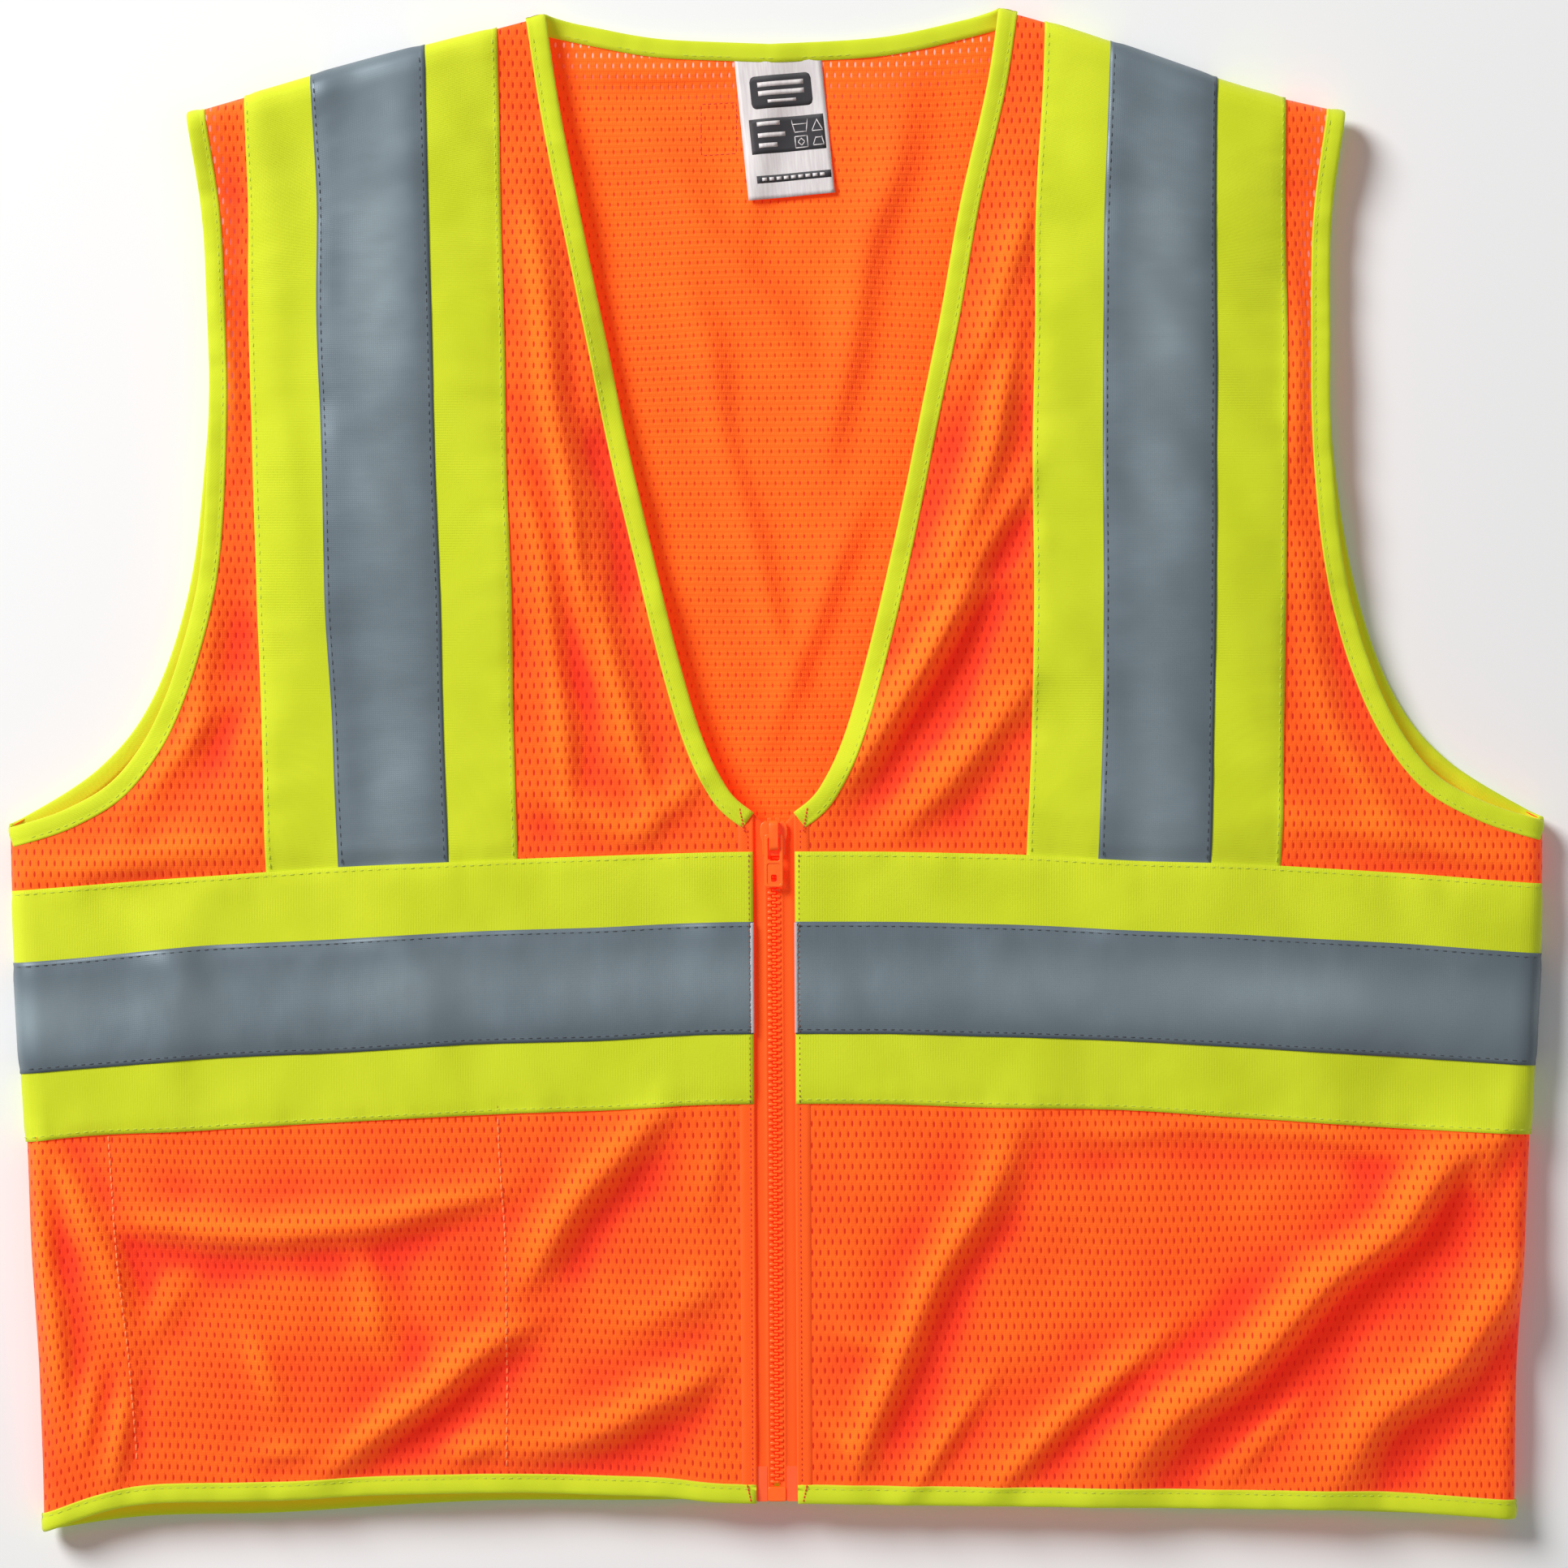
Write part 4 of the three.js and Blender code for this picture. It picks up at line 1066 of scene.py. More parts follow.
def brace_tape(name, side, width, lift, thick, material, seed):
    foot = WAIST_HIGH - 5
    v = np.concatenate([ramp(foot, TOP_Y - FOLD_R - 2, TAPE_STEP), TOP_Y - FOLD_STEPS[::-1] / SHOULDER_COS])
    offset, v = np.meshgrid(tape_offsets(width), v)
    y = v
    for _ in range(2):  # the brace leans, so its x and y depend on each other
        x = brace_x(y) + offset
        y = row_y(v, x, FRONT)
    height = tape_lift(lift, offset, width / 2, v, seed)
    front_height = height * (0.2 + 0.8 * smoothstep((v - foot - 4) / 9))
    x, y, height = there_and_back(x, x), there_and_back(y, y), there_and_back(front_height, height)
    rows = len(v)
    faces = np.concatenate([np.full(rows, 1.0), np.full(rows - 1, -1.0)])[:, None] * np.ones_like(x)
    along = np.concatenate([v, 2 * TOP_Y - v[-2::-1]])
    offset = offset[:1].repeat(len(along), 0)
    obj = cloth_sheet(name, side * x, y, faces, height, thick, (material, material), uv=(along, offset))
    ride_body(obj)
    return obj


KINDS = (
    ("tape", CONTRAST_WIDTH, TAPE_LIFT, TAPE_THICK, lime_tape, "lime_tape", 81),
    ("silver", SILVER_WIDTH, SILVER_LIFT + 0.35, SILVER_THICK, silver_tape, "silver_tape", 85),
)

for kind, width, lift, thick, material, slot, seed in KINDS:
    outer = float(side_x(WAIST_Y))
    band = waist_tape(f"back_waist_{kind}_cloth", BACK, -outer, outer, width, lift, thick, material, seed)
    stand_for(band, slot, f"back_waist_{kind}")
    ride_body(band)
    for hand, side in HANDS:
        ends = sorted((side * FRONT_GAP, side * outer))
        band = waist_tape(f"{hand}_waist_{kind}_cloth", FRONT, *ends, width, lift, thick, material, seed + 1)
        stand_for(band, slot, f"{hand}_side_waist_{kind}", f"{hand}_front_waist_{kind}")
        fold_blend(band)
        brace = brace_tape(f"{hand}_brace_{kind}_cloth", side, width, lift, thick, material, seed + 2)
        stand_for(brace, slot, f"{hand}_front_brace_{kind}", f"{hand}_back_brace_{kind}")

# ---- Bindings ------------------------------------------------------------------------------------


def mirror(line, side):
    """The line for this side, turned so that its cloth stays on the left."""
    return line if side > 0 else (line * np.array([-1, 1]))[::-1]


def hem_line(low_x, high_x, folds_at=()):
    x = np.linspace(low_x, high_x, 200)
    return resampled(np.stack([x, HEM_Y - drop(x)], -1), 3, folds_at)


def arm_lines(side):
    """Front and back armhole edges as one loop, joined at the side seam and the shoulder."""
    lines = []
    for face in (FRONT, BACK):
        line = arm_edge[face]
        seam = np.interp(HALF_WIDTH, line[:, 0], line[:, 1])
        line = np.concatenate([line[line[:, 0] < HALF_WIDTH - 0.4], [[HALF_WIDTH, seam]]])
        lines.append(resampled(line, 2.5, ("start", "end")))
    front, back = lines
    flip = np.array([side, 1])
    if side > 0:
        return [(front[::-1] * flip, FRONT), (back[1:-1] * flip, BACK)]
    return [(front * flip, FRONT), (back[::-1][1:-1] * flip, BACK)]


def binding(name, lines, node, closed=False):
    obj = edge_strip(name, lines, lime_binding, closed)
    stand_for(obj, "lime_binding", node)
    return obj


v_line = resampled(v_edge, 2.5, ("start",))  # from the shoulder down to the zip
hem_outer = float(side_x(HEM_Y - drop(HEM_HALF_WIDTH)))

for hand, side in HANDS:
    strip = binding(f"{hand}_v_edge", [(mirror(v_line, side), FRONT)], f"{hand}_v_binding")
    fold_blend(strip)
    ends = sorted((side * FRONT_GAP, side * hem_outer))
    line = hem_line(*ends, ("end",) if side > 0 else ("start",))
    strip = binding(f"{hand}_hem_edge", [(line, FRONT)], f"{hand}_front_hem_binding")
    fold_blend(strip)
    ride_body(binding(f"{hand}_arm_edge", arm_lines(side), f"{hand}_armhole_binding", closed=True))

neck_line = np.concatenate([neck_curve[:0:-1] * np.array([-1, 1]), neck_curve])
neck_line = resampled(neck_line, 2.5, ("start", "end"))
ride_body(binding("neck_edge", [(neck_line, BACK)], "neck_binding"))
back_hem = hem_line(-hem_outer, hem_outer, ("start", "end"))[::-1]
ride_body(binding("back_hem_edge", [(back_hem, BACK)], "hem_binding"))

# ---- Neck label ----------------------------------------------------------------------------------

LABEL_CENTRE = (6.6, 294.5)
LABEL_SIZE = (39.5, 66)
LABEL_TURN = math.radians(5.5)
LABEL_THICK = 0.25


def on_label(u, v):
    """Plan points from places on the label, measured from its middle."""
    c, s = math.cos(LABEL_TURN), math.sin(LABEL_TURN)
    return LABEL_CENTRE[0] + u * c - v * s, LABEL_CENTRE[1] + u * s + v * c


def label_height(u, v):
    """Height above the back's inner face: sewn down at the top, lifted at the foot, a little wavy."""
    return MESH_THICK + 0.45 + 1.6 * smoothstep((10 - v) / 50) + 0.25 * noise(u, v, 14, 75)


def make_label():
    w, l = LABEL_SIZE
    u, v = np.meshgrid(ramp(-w / 2, w / 2, 2), ramp(-l / 2, l / 2, 2))
    x, y = on_label(u, v)
    lift = -label_height(u, v)
    label = cloth_sheet("neck_label_cloth", x, y, BACK, lift, LABEL_THICK, (label_satin,) * 2, uv=(u, v))
    stand_for(label, "label_satin", "neck_label")
    ride_body(label)


make_label()


class Print:
    """Gathers thin printed shapes that lie on the label."""

    def __init__(self, lift):
        self.points, self.faces, self.count, self.lift = [], [], 0, lift

    def area(self, u, low, high, steps):
        """Fills between two lines over the places u."""
        columns = len(u)
        u = np.broadcast_to(u, (steps, columns))
        v = low + (high - low) * np.linspace(0, 1, steps)[:, None]
        x, y = on_label(u, v)
        height = label_height(u, v) + LABEL_THICK + self.lift
        for deeper in (0, 0.06):
            self.points.append(lay(x, y, BACK, deeper - height).reshape(-1, 3))
        top = grid_faces(steps, columns, self.count)
        size = steps * columns
        self.faces += [top, top[:, ::-1] + size, rim_faces(steps, columns, self.count)]
        self.count += 2 * size

    def bar(self, u0, v0, u1, v1):
        u = np.linspace(u0, u1, max(int((u1 - u0) / 2), 1) + 1)
        low, high = np.full(len(u), float(v0)), np.full(len(u), float(v1))
        self.area(u, low, high, max(int((v1 - v0) / 2), 1) + 1)

    def stroke(self, line):
        """A thin line of even width."""
        width = 0.4
        for (u0, v0), (u1, v1) in zip(line, line[1:]):
            if abs(u1 - u0) < width:
                self.bar(min(u0, u1) - width / 2, min(v0, v1), max(u0, u1) + width / 2, max(v0, v1))
            else:
                u = np.linspace(min(u0, u1), max(u0, u1), 4)
                v = np.interp(u, *zip(*sorted([(u0, v0), (u1, v1)])))
                half = width / 2 * math.hypot(u1 - u0, v1 - v0) / abs(u1 - u0)
                self.area(u, v - half, v + half, 2)

    def build(self, name, material):
        obj = to_mesh(name, np.concatenate(self.points), np.concatenate(self.faces), [material])
        face_outwards(obj)
        ride_body(obj)


# The label's print: a rounded plate, a panel and a footer, with plain bars where words would be
PLATE = (-14, 8.5, 14, 23.5)
PLATE_CORNER = 2.5
DARK_BARS = ((-16, -12, 18, 4), (-15, -25.5, 19, -22))
LIGHT_BARS = (
    (-10.5, 18.4, 10.5, 20.6), (-10.5, 14.4, 10.5, 16.6), (-6.5, 11.0, 6.5, 12.4),
    (-12.5, 0.7, -2, 2.6), (-12.5, -4.6, 0, -2.6), (-12.5, -9.2, -4, -7.2),
)
CARE_SIGNS = (
    [(3.4, 1.6), (4.4, -3.4), (9.6, -3.4), (10.6, 1.6)],
    [(3.6, 0.2), (10.4, 0.2)],
    [(12.2, -3.4), (14.8, 1.6), (17.2, -3.4), (12.2, -3.4)],
    [(4.2, -10.6), (4.2, -5.4), (9.8, -5.4), (9.8, -10.6), (4.2, -10.6)],
    [(5.4, -8), (7, -9.6), (8.6, -8), (7, -6.4), (5.4, -8)],
    [(12.2, -10), (17.2, -10), (16.4, -6.6), (13.6, -6.6), (12.2, -10)],
)


def print_label():
    dark, light = Print(0.06), Print(0.12)
    left, low, right, high = PLATE
    u = np.concatenate([
        np.linspace(left, left + PLATE_CORNER, 6), np.linspace(-10, 10, 11),
        np.linspace(right - PLATE_CORNER, right, 6),
    ])
    inside = np.maximum(np.abs(u) - (right - PLATE_CORNER), 0)
    round_off = PLATE_CORNER - np.sqrt(np.maximum(PLATE_CORNER**2 - inside**2, 0))
    dark.area(u, low + round_off, high - round_off, 8)
    for bar in DARK_BARS:
        dark.bar(*bar)
    for bar in LIGHT_BARS:
        light.bar(*bar)
    for sign in CARE_SIGNS:
        light.stroke(sign)
    for k in range(9):
        light.bar(-12.6 + 3.3 * k, -24.5, -10.4 + 3.3 * k, -23)
    dark.build("label_print_dark", label_ink)
    light.build("label_print_light", label_satin)


print_label()

# ---- Stitching -----------------------------------------------------------------------------------

TAPE_STITCH = dict(length=2.4, pitch=3.9, width=0.5, height=0.3)
ZIP_STITCH = dict(length=1.4, pitch=2.4, width=0.45, height=0.28)
SEAM_STITCH = dict(length=3.3, pitch=3.9, width=0.8, height=0.35)
BAR_TACK = dict(length=1.5, pitch=1.6, width=0.7, height=0.4)
PATCH_STITCH = dict(length=1.8, pitch=2.6, width=0.5)
ON_TAPE, ON_SILVER = 0.62, 1.36  # heights of the stitches above the mesh
BINDING_STITCH = 6.0  # from the cloth's edge


def waist_rows(offset, x, face=FRONT):
    return np.stack([x, row_y(WAIST_Y + offset + 0 * x, x, face)], -1)


def brace_rows(offset):
    v = ramp(WAIST_HIGH + 1, TOP_Y - 2, 2)
    x = brace_x(v) + offset
    return np.stack([x, row_y(v, x, FRONT)], -1)


def zip_edge(low, high, inset=1.8):
    return np.array([(FRONT_GAP + inset, v) for v in ramp(low, high, 3)])


def offset_line(line, distance):
    points, left = with_normals(line)
    return points + left * distance


def sew(name, material, runs):
    """One piece of thread from runs of (line, face, lift, stitch)."""
    stitches = Thread()
    for line, face, lift, stitch in runs:
        stitches.run(line, face, lift, **stitch)
    return stitches.build(name, material)


def sew_front(hand, side, colour, material, runs):
    """A thread on the part that opens, from runs of (line, lift, stitch) on the wearer's left."""
    flip = np.array([side, 1])
    runs = [(line * flip, FRONT, lift, stitch) for line, lift, stitch in runs]
    fold_blend(sew(f"{hand}_front_{colour}_stitches", material, runs))


def front_seams(hand, side):
    x = ramp(FRONT_GAP + 0.6, waist_end, 3)
    hem = hem_line(FRONT_GAP + 3, hem_outer - 2)
    lime = [(waist_rows(o, x), ON_TAPE, TAPE_STITCH) for o in TAPE_EDGES]
    lime += [(offset_line(line, BINDING_STITCH), ON_TAPE, TAPE_STITCH) for line in (v_line[6:-2], hem)]
    grey = [(waist_rows(o, x), ON_SILVER, TAPE_STITCH) for o in SILVER_EDGES]
    brown = [
        (zip_edge(WAIST_LOW, SILVER_LOW), 1.0, ZIP_STITCH),
        (zip_edge(SILVER_LOW, SILVER_HIGH), 1.75, ZIP_STITCH),
        (zip_edge(SILVER_HIGH, WAIST_HIGH), 1.0, ZIP_STITCH),
    ]
    sew_front(hand, side, "lime", lime_thread, lime)
    sew_front(hand, side, "grey", grey_thread, grey)
    sew_front(hand, side, "brown", brown_thread, brown)


def zip_seams(hand, side):
    """The seam beside the zip, off the tapes, with a bar tack at each end."""
    sew_front(hand, side, "orange", orange_thread, [
        (zip_edge(HEM_Y + 9, WAIST_LOW - 1), 0.5, ZIP_STITCH),
        (zip_edge(WAIST_HIGH + 1, ZIP_TOP - 6, 2.4), 0.5, ZIP_STITCH),
        (np.array([(FRONT_GAP + 2.4, HEM_Y - 0.2), (FRONT_GAP + 4.2, HEM_Y + 8)]), 1.15, BAR_TACK),
        (np.array([(13.2, -30.5), (15.4, -18.8)]), 1.1, BAR_TACK),
    ])


def brace_seams(hand, side):
    flip = np.array([side, 1])
    for colour, material, edges, lift in (
        ("lime", lime_thread, TAPE_EDGES, ON_TAPE), ("grey", grey_thread, SILVER_EDGES, ON_SILVER)
    ):
        runs = [(brace_rows(o) * flip, face, lift, TAPE_STITCH) for o in edges for face in (FRONT, BACK)]
        if colour == "lime":
            for face in (FRONT, BACK):
                arm = arm_edge[face][arm_edge[face][:, 0] < HALF_WIDTH - 5]
                runs.append((offset_line(arm[3:], -BINDING_STITCH) * flip, face, ON_TAPE, TAPE_STITCH))
        ride_body(sew(f"{hand}_brace_{colour}_stitches", material, runs))


def pocket_seams():
    """The pocket's two sides, sewn through the wearer's right front."""
    low_box, high_box = box_mm("pocket")
    top = high_box[1] - SHIFT_Y
    for edge, foot in ((low_box[0] + 1, low_box[0] + 15), (high_box[0] - 1, high_box[0] - 1)):
        y = ramp(HEM_Y + 9, top, 4)
        line = np.stack([np.interp(y, (HEM_Y, top), (foot, edge)), y], -1)
        on_tape = y > WAIST_LOW
        for name, material, part, lift, stitch in (
            ("seam", pocket_thread, line[~on_tape], 0.25, SEAM_STITCH),
            ("stitches", brown_thread, line[on_tape], 0.72, ZIP_STITCH),
        ):
            ride_body(sew(f"pocket_{name}_{round(-edge)}", material, [(part, FRONT, lift, stitch)]))


def back_seams():
    x = ramp(-waist_end, waist_end, 3)
    hem = hem_line(-hem_outer + 2, hem_outer - 2)
    lime = [(waist_rows(o, x, BACK), BACK, ON_TAPE, TAPE_STITCH) for o in TAPE_EDGES]
    lime.append((offset_line(hem, BINDING_STITCH), BACK, ON_TAPE, TAPE_STITCH))
    lime.append((neck_line[6:-6] - np.array([0, BINDING_STITCH]), BACK, -1.55, TAPE_STITCH))
    grey = [(waist_rows(o, x, BACK), BACK, ON_SILVER, TAPE_STITCH) for o in SILVER_EDGES]
    patch = np.array([(-31.6, 304.7), (-15.2, 305.2), (-15.6, 282), (-31.8, 281.3), (-31.6, 304.7)])
    ride_body(sew("back_lime_stitches", lime_thread, lime))
    ride_body(sew("back_grey_stitches", grey_thread, grey))
    ride_body(sew("back_patch_stitches", orange_thread, [(patch, BACK, -MESH_THICK - 0.1, PATCH_STITCH)]))


TAPE_EDGES, SILVER_EDGES = (
    (EDGE_INSET - width / 2, width / 2 - EDGE_INSET) for width in (CONTRAST_WIDTH, SILVER_WIDTH)
)
waist_end = float(side_x(WAIST_Y)) - 1
for hand, side in HANDS:
    front_seams(hand, side)
    if hand == "right":
        pocket_seams()
    zip_seams(hand, side)
    brace_seams(hand, side)
back_seams()

# ---- Zip edges of the fronts ---------------------------------------------------------------------

FACING_SECTION = [
    (6.6, 0.04), (6.4, 0.28), (4.5, 0.42), (2.6, 0.36), (1.8, 0.2), (1.0, 0.42), (0.1, 0.46), (-0.35, 0.1),
    (-0.3, -0.6), (0.4, -1.05), (6.4, -1.0), (6.5, -0.75), (0.6, -0.7), (0.3, -0.1),
]


def zip_facing(hand, side):
    line = np.array([(FRONT_GAP, v) for v in ramp(HEM_Y + 1, ZIP_TOP, 2.5)[::-1]])
    lines = [(mirror(line, side), FRONT)]
    facing = edge_strip(f"{hand}_zip_facing", lines, orange_hem, section=FACING_SECTION)
    fold_blend(facing)


def frayed_end(hand, side):
    """The silver tape's cut end: a pale, ragged edge beside the zip."""
    v = ramp(SILVER_LOW + 0.4, SILVER_HIGH - 0.4, 0.5)[:, None]
    ragged = 0.28 * np.random.RandomState(90 + side).uniform(-1, 1, v.shape)
    columns = np.array([-0.35, 0.0, 0.7, 1.3])
    x = side * (FRONT_GAP + columns + ragged * (columns == columns.max()))
    crown = 0.35 * smoothstep((SILVER_WIDTH / 2 - np.abs(v - WAIST_Y)) / 9)
    lift = SILVER_LIFT + 0.4 + crown + np.array([-0.1, 0.25, 0.28, 0.1]) + 0.1 * np.abs(ragged)
    end = cloth_sheet(f"{hand}_silver_fray", x, row_y(v + 0 * x, x, FRONT), FRONT, lift, 0.5, (fray, fray))
    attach(end, f"{hand}_front")


for hand, side in HANDS:
    zip_facing(hand, side)
for hand, side in HANDS:
    frayed_end(hand, side)

# ---- Zip -----------------------------------------------------------------------------------------

TEETH_LOW, TEETH_HIGH = box_mm("right_zip_teeth")
CHAIN_TOP, CHAIN_END = TEETH_HIGH[1] - SHIFT_Y, TEETH_LOW[1] - SHIFT_Y
# Half the plan of a tooth on the wearer's left: a base on the cord, a neck and a head past the middle
HALF_TOOTH = [
    (2.95, 0.68), (1.35, 0.7), (1.0, 0.5), (0.45, 0.4), (0.1, 0.46), (-0.3, 0.64), (-0.7, 0.58), (-0.95, 0.3),
]
PLATE_THICK, BRIDGE_LENGTH, PULL_BAR = 1.2, 13.7, 1.6
SLIDER_PLATES = (box_mm("zip_slider")[0][2], box_mm("zip_slider")[1][2] - 3.89)  # undersides and top


def prism(outline, levels):
    """Rings of an outline at heights, each shrunk towards its middle, as points and triangles."""
    outline = np.array(outline, float)
    middle = outline.mean(axis=0)
    size = np.ptp(outline, axis=0)
    rings = [
        np.column_stack([middle + (outline - middle) * (1 - 2 * inset / size), np.full(len(outline), z)])
        for z, inset in levels
    ]
    count = len(outline)
    sides = grid_faces(len(levels), count, wrap=True)
    caps = []
    for ring, flip in ((0, True), (len(levels) - 1, False)):
        for k in range(1, count // 2):
            a, b, c, d = np.array([k - 1, k, count - k - 1, count - k]) + ring * count
            caps += [(c, b, a), (d, c, a)] if flip else [(a, b, c), (a, c, d)]
    return np.concatenate(rings), np.concatenate([sides[:, [0, 1, 2]], sides[:, [0, 2, 3]], np.array(caps)])


def make_teeth(hand, side):
    low, high = TEETH_LOW[2], TEETH_HIGH[2]
    levels = [(low, 0.3), (low + 0.3, 0.02), (high - 0.35, 0.0), (high - 0.1, 0.12), (high, 0.34)]
    other_half = [(x, -y) for x, y in HALF_TOOTH]
    points, faces = prism([other_half[0]] + HALF_TOOTH + other_half[:0:-1], levels)
    start = CHAIN_TOP - 0.7 - (0 if side > 0 else TOOTH_PITCH / 2)
    at = np.arange(start, CHAIN_END + 0.6, -TOOTH_PITCH)
    rows = np.concatenate([points + np.array([0, y, 0]) for y in at]) * np.array([side, 1, 1])
    all_faces = np.concatenate([faces + k * len(points) for k in range(len(at))])
    obj = to_mesh(f"{hand}_teeth", rows, all_faces, [zip_plastic])
    face_outwards(obj)
    stand_for(obj, "zip_plastic", f"{hand}_zip_teeth")
    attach(obj, f"{hand}_front")


def make_zip_tape(hand, side):
    """Woven tape with a raised cord beside the teeth and a shallow rib near the front's edge."""
    x = np.concatenate([np.linspace(1.25, 4.6, 12), np.linspace(5, 16, 16)])
    top = np.where(x < FRONT_GAP + 3, ZIP_TOP - 6.2 + (x - 3) * 1.05, ZIP_TOP - 8)
    top = np.clip(top, ZIP_TOP - 8, ZIP_TOP + 1.2)
    y = HEM_Y + 0.3 + (top - HEM_Y - 0.3) * np.linspace(0, 1, 150)[:, None]
    x = np.broadcast_to(x, y.shape)
    rib = 0.5 * np.exp(-(((x - 3.7) / 0.8) ** 2)) + 0.16 * np.exp(-(((x - 7.8) / 0.5) ** 2))
    rib = rib + 0.12 * noise(x, y, 14, 77)
    z = ZIP_Z + 0.25 + rib
    outer, inner = (np.stack([side * x, y, height], -1).reshape(-1, 3) for height in (z, z - 0.5 - rib))
    top_faces = grid_faces(*x.shape)
    faces = np.concatenate([top_faces, top_faces[:, ::-1] + x.size, rim_faces(*x.shape)])
    obj = to_mesh(f"{hand}_zip_tape_cloth", np.concatenate([outer, inner]), faces, [zip_cloth])
    face_outwards(obj)
    stand_for(obj, "zip_cloth", f"{hand}_zip_tape")
    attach(obj, f"{hand}_front")


def bevelled(name, outlines, z, thick, bevel, material=zip_plastic):
    """A plate with holes and rounded edges, from closed plan outlines; the first is its outside."""
    curve = bpy.data.curves.new(name, "CURVE")
    curve.dimensions = "2D"
    curve.fill_mode = "BOTH"
    curve.extrude = (thick / 2 - bevel) * MM
    curve.bevel_depth = bevel * MM
    curve.bevel_resolution = 3
    curve.offset = -bevel * MM
    for outline in outlines:
        loop = curve.splines.new("POLY")
        loop.points.add(len(outline) - 1)
        for point, (x, y) in zip(loop.points, outline):
            point.co = (x * MM, (y + SHIFT_Y) * MM, 0, 1)
        loop.use_cyclic_u = True
    temporary = add_object(name + "_curve", curve)
    bpy.context.view_layer.update()
    mesh = bpy.data.meshes.new_from_object(temporary)
    bpy.data.objects.remove(temporary)
    bpy.data.curves.remove(curve)
    mesh.name = name
    for vertex in mesh.vertices:
        vertex.co.z += z * MM
    obj = add_object(name, mesh)
    face_outwards(obj, weld=2e-6)
    mesh.materials.clear()
    mesh.materials.append(material)
    return obj


def rounded(x0, y0, x1, y1, r):
    """Outline of a rounded rectangle, anticlockwise."""
    steps = 5
    corners = [(x1 - r, y1 - r, 0), (x0 + r, y1 - r, 90), (x0 + r, y0 + r, 180), (x1 - r, y0 + r, 270)]
    points = []
    for cx, cy, start in corners:
        for k in range(steps + 1):
            a = math.radians(start + 90 * k / steps)
            points.append((cx + r * math.cos(a), cy + r * math.sin(a)))
    return points


def join_into(name, parts):
    """Joins separate solids into one piece."""
    bpy.ops.object.select_all(action="DESELECT")
    for part in parts:
        part.select_set(True)
    bpy.context.view_layer.objects.active = parts[0]
    bpy.ops.object.join()
    parts[0].name = name
    parts[0].data.name = name
    return parts[0]


def turned(obj):
    """Stands a plate up: its plan x, y become y, z and its thickness lies along x."""
    points = np.empty(len(obj.data.vertices) * 3)
    obj.data.vertices.foreach_get("co", points)
    points = points.reshape(-1, 3)[:, [2, 0, 1]]
    obj.data.vertices.foreach_set("co", points.ravel())
    obj.data.update()
    return obj


def make_slider():
    """Two plates with a wedge post and side flanges, and the bridge that holds the pull."""
    low, high = box_mm("zip_slider")
    top, tail, half = high[1] - SHIFT_Y, low[1] - SHIFT_Y, high[0]
    under, over = SLIDER_PLATES
    edge = [
        (0.62, top), (0.9, top - 1.2), (1, top - 3.2), (1, top - 6.5), (0.86, top - 9.5), (0.84, tail + 0.8),
        (0.74, tail),
    ]
    notch = [(0.3, top - 1.6), (0, top - 2.0), (-0.3, top - 1.6)]
    plate = [(half * u, y) for u, y in [(-u, y) for u, y in edge] + edge[::-1] + notch][::-1]
    parts = [
        bevelled("slider_top", [plate], over - PLATE_THICK / 2, PLATE_THICK, 0.4),
        bevelled("slider_foot", [plate], under + PLATE_THICK / 2, PLATE_THICK, 0.4),
        bevelled("slider_post", [rounded(-0.4, top - 5, 0.4, top - 2.2, 0.3)], ZIP_Z, 3.4, 0.08),
    ]
    for x0, x1 in ((-half * 0.84, -half * 0.84 + 0.9), (half * 0.84 - 0.9, half * 0.84)):
        for z in (over - PLATE_THICK - 0.3, under + PLATE_THICK + 0.2):
            parts.append(bevelled("slider_flange", [rounded(x0, tail + 0.8, x1, top - 4, 0.3)], z, 0.9, 0.2))
    foot, head = over - 0.2, high[2]
    near, far = top, top - BRIDGE_LENGTH
    outer = [(0, foot), (0, head - 1.7), (0.7, head - 0.5), (2.0, head)]
    inner = [(2.0, head - 1.1), (1.1, head - 1.9), (1.1, foot)]
    arch = [(far + d, z) for d, z in outer] + [(near - d, z) for d, z in outer[::-1] + inner[::-1]]
    arch += [(far + d, z) for d, z in inner]
    arch = [(y + SHIFT_Y, z - SHIFT_Y) for y, z in arch]
    parts.append(turned(bevelled("slider_bridge", [arch[::-1]], 0, 4.2, 0.35)))
    slider = join_into("slider_body", parts)
    stand_for(slider, "zip_plastic", "zip_slider")
    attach(slider, "zip_slider")


def make_pull():
    """A tab with a raised rim, the bridge's window, and a recessed foot with a slot."""
    low, high = box_mm("zip_pull")
    x0, y0, x1, y1 = low[0], low[1] - SHIFT_Y, high[0], high[1] - SHIFT_Y
    middle = (low[2] + high[2]) / 2
    window = rounded(-2.6, y1 - 12.1, 2.6, y1 - PULL_BAR, 0.9)
    recess = rounded(x0 + 1.15, y0 + 1.2, x1 - 1.15, y1 - 13.4, 0.9)
    slot = rounded(-1.3, y0 + 2.4, 1.3, y0 + 5.6, 0.7)
    outside = rounded(x0, y0, x1, y1, 1.3)
    rim = bevelled("pull_rim", [outside, window[::-1], recess[::-1]], middle, high[2] - low[2], 0.35)
    panel = rounded(x0 + 0.9, y0 + 0.9, x1 - 0.9, y1 - 13.1, 0.9)
    web = bevelled("pull_web", [panel, slot[::-1]], middle, 0.7, 0.1)
    pull = join_into("pull_tab_piece", [rim, web])
    stand_for(pull, "zip_plastic", "zip_pull")
    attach(pull, "zip_pull")


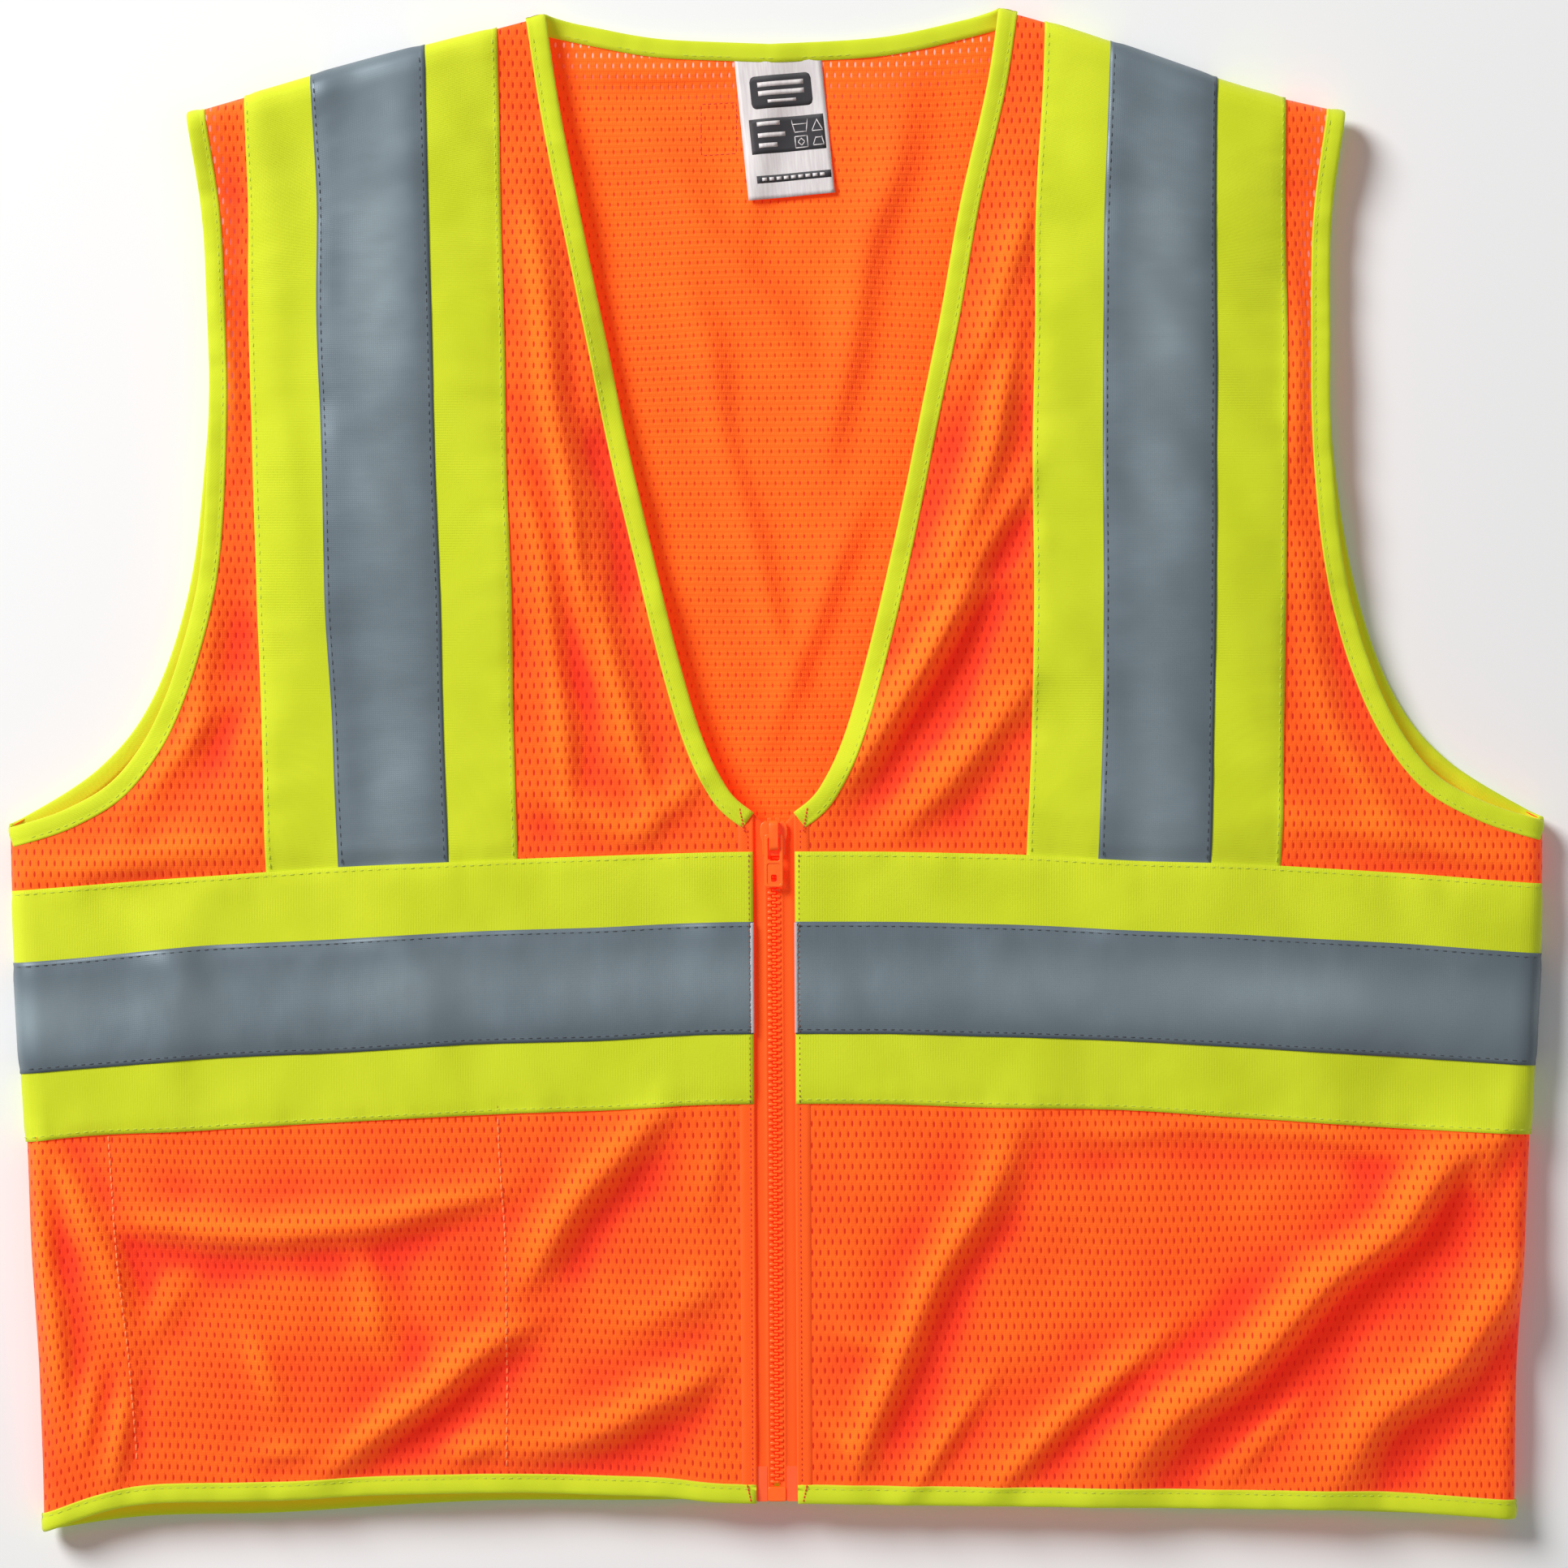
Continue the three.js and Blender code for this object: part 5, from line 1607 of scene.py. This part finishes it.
def make_fitting(node, body, radius, bevel, material=zip_plastic, slot="zip_plastic"):
    """A small moulded block or film in the place of its CAD node."""
    low, high = box_mm(node)
    outline = rounded(low[0], low[1] - SHIFT_Y, high[0], high[1] - SHIFT_Y, radius)
    piece = bevelled(f"{node}_piece", [outline], (low[2] + high[2]) / 2, high[2] - low[2], bevel, material)
    stand_for(piece, slot, node)
    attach(piece, body)


for hand, side in HANDS:
    make_teeth(hand, side)
    make_zip_tape(hand, side)
make_slider()
make_pull()
make_fitting("zip_box", "right_front", 0.9, 0.4)
make_fitting("zip_pin", "left_front", 0.3, 0.2)
for hand, side in HANDS:
    make_fitting(f"{hand}_zip_stop", f"{hand}_front", 0.5, 0.3)
    make_fitting(f"{hand}_zip_film", f"{hand}_front", 0.4, 0.04, zip_film, "zip_film")

# ---- Floor, light and camera ---------------------------------------------------------------------

FLOOR_HALF = 8.0
FLOOR_WHITE = (0.95, 0.95, 0.95, 1)
WORLD_WHITE, WORLD_STRENGTH = (1, 1, 1, 1), 0.2
CAMERA_PLACE = (0.0048, -0.0070, 2.5)
CAMERA_LENS = 125.8
CAMERA_ROLL = -0.3
LIGHTS = (("key", (-2.7, 2.4, 2.6), 2.0, 226), ("fill", (1.2, -0.8, 2.6), 2.4, 6))  # place, size, power


def make_floor():
    mesh = bpy.data.meshes.new("floor")
    corners = [(x * FLOOR_HALF, y * FLOOR_HALF, 0) for x, y in ((-1, -1), (1, -1), (1, 1), (-1, 1))]
    mesh.from_pydata(corners, [], [(0, 1, 2, 3)])
    floor = add_object("floor", mesh)
    n = Nodes("floor", Roughness=0.7, Base_Color=FLOOR_WHITE)
    floor.data.materials.append(n.material)


def area_light(name, place, size, power):
    """A round light that faces the middle of the vest."""
    light = bpy.data.lights.new(name, "AREA")
    light.shape, light.size, light.energy = "DISK", size, power
    obj = add_object(name, light)
    obj.location = place
    obj.rotation_euler = (-Vector(place)).to_track_quat("-Z", "Y").to_euler()


def make_camera():
    """Straight above the vest and turned a little."""
    data = bpy.data.cameras.new("camera")
    data.lens = CAMERA_LENS
    data.clip_end = 20
    camera = add_object("camera", data)
    camera.location = CAMERA_PLACE
    camera.rotation_euler = (0, 0, math.radians(CAMERA_ROLL))
    bpy.context.scene.camera = camera


def make_world():
    world = bpy.data.worlds.new("world")
    bpy.context.scene.world = world
    world.use_nodes = True
    background = world.node_tree.nodes["Background"]
    background.inputs[0].default_value = WORLD_WHITE
    background.inputs[1].default_value = WORLD_STRENGTH


make_floor()
make_camera()
for light in LIGHTS:
    area_light(*light)
make_world()
bpy.context.scene.view_settings.view_transform = "Standard"
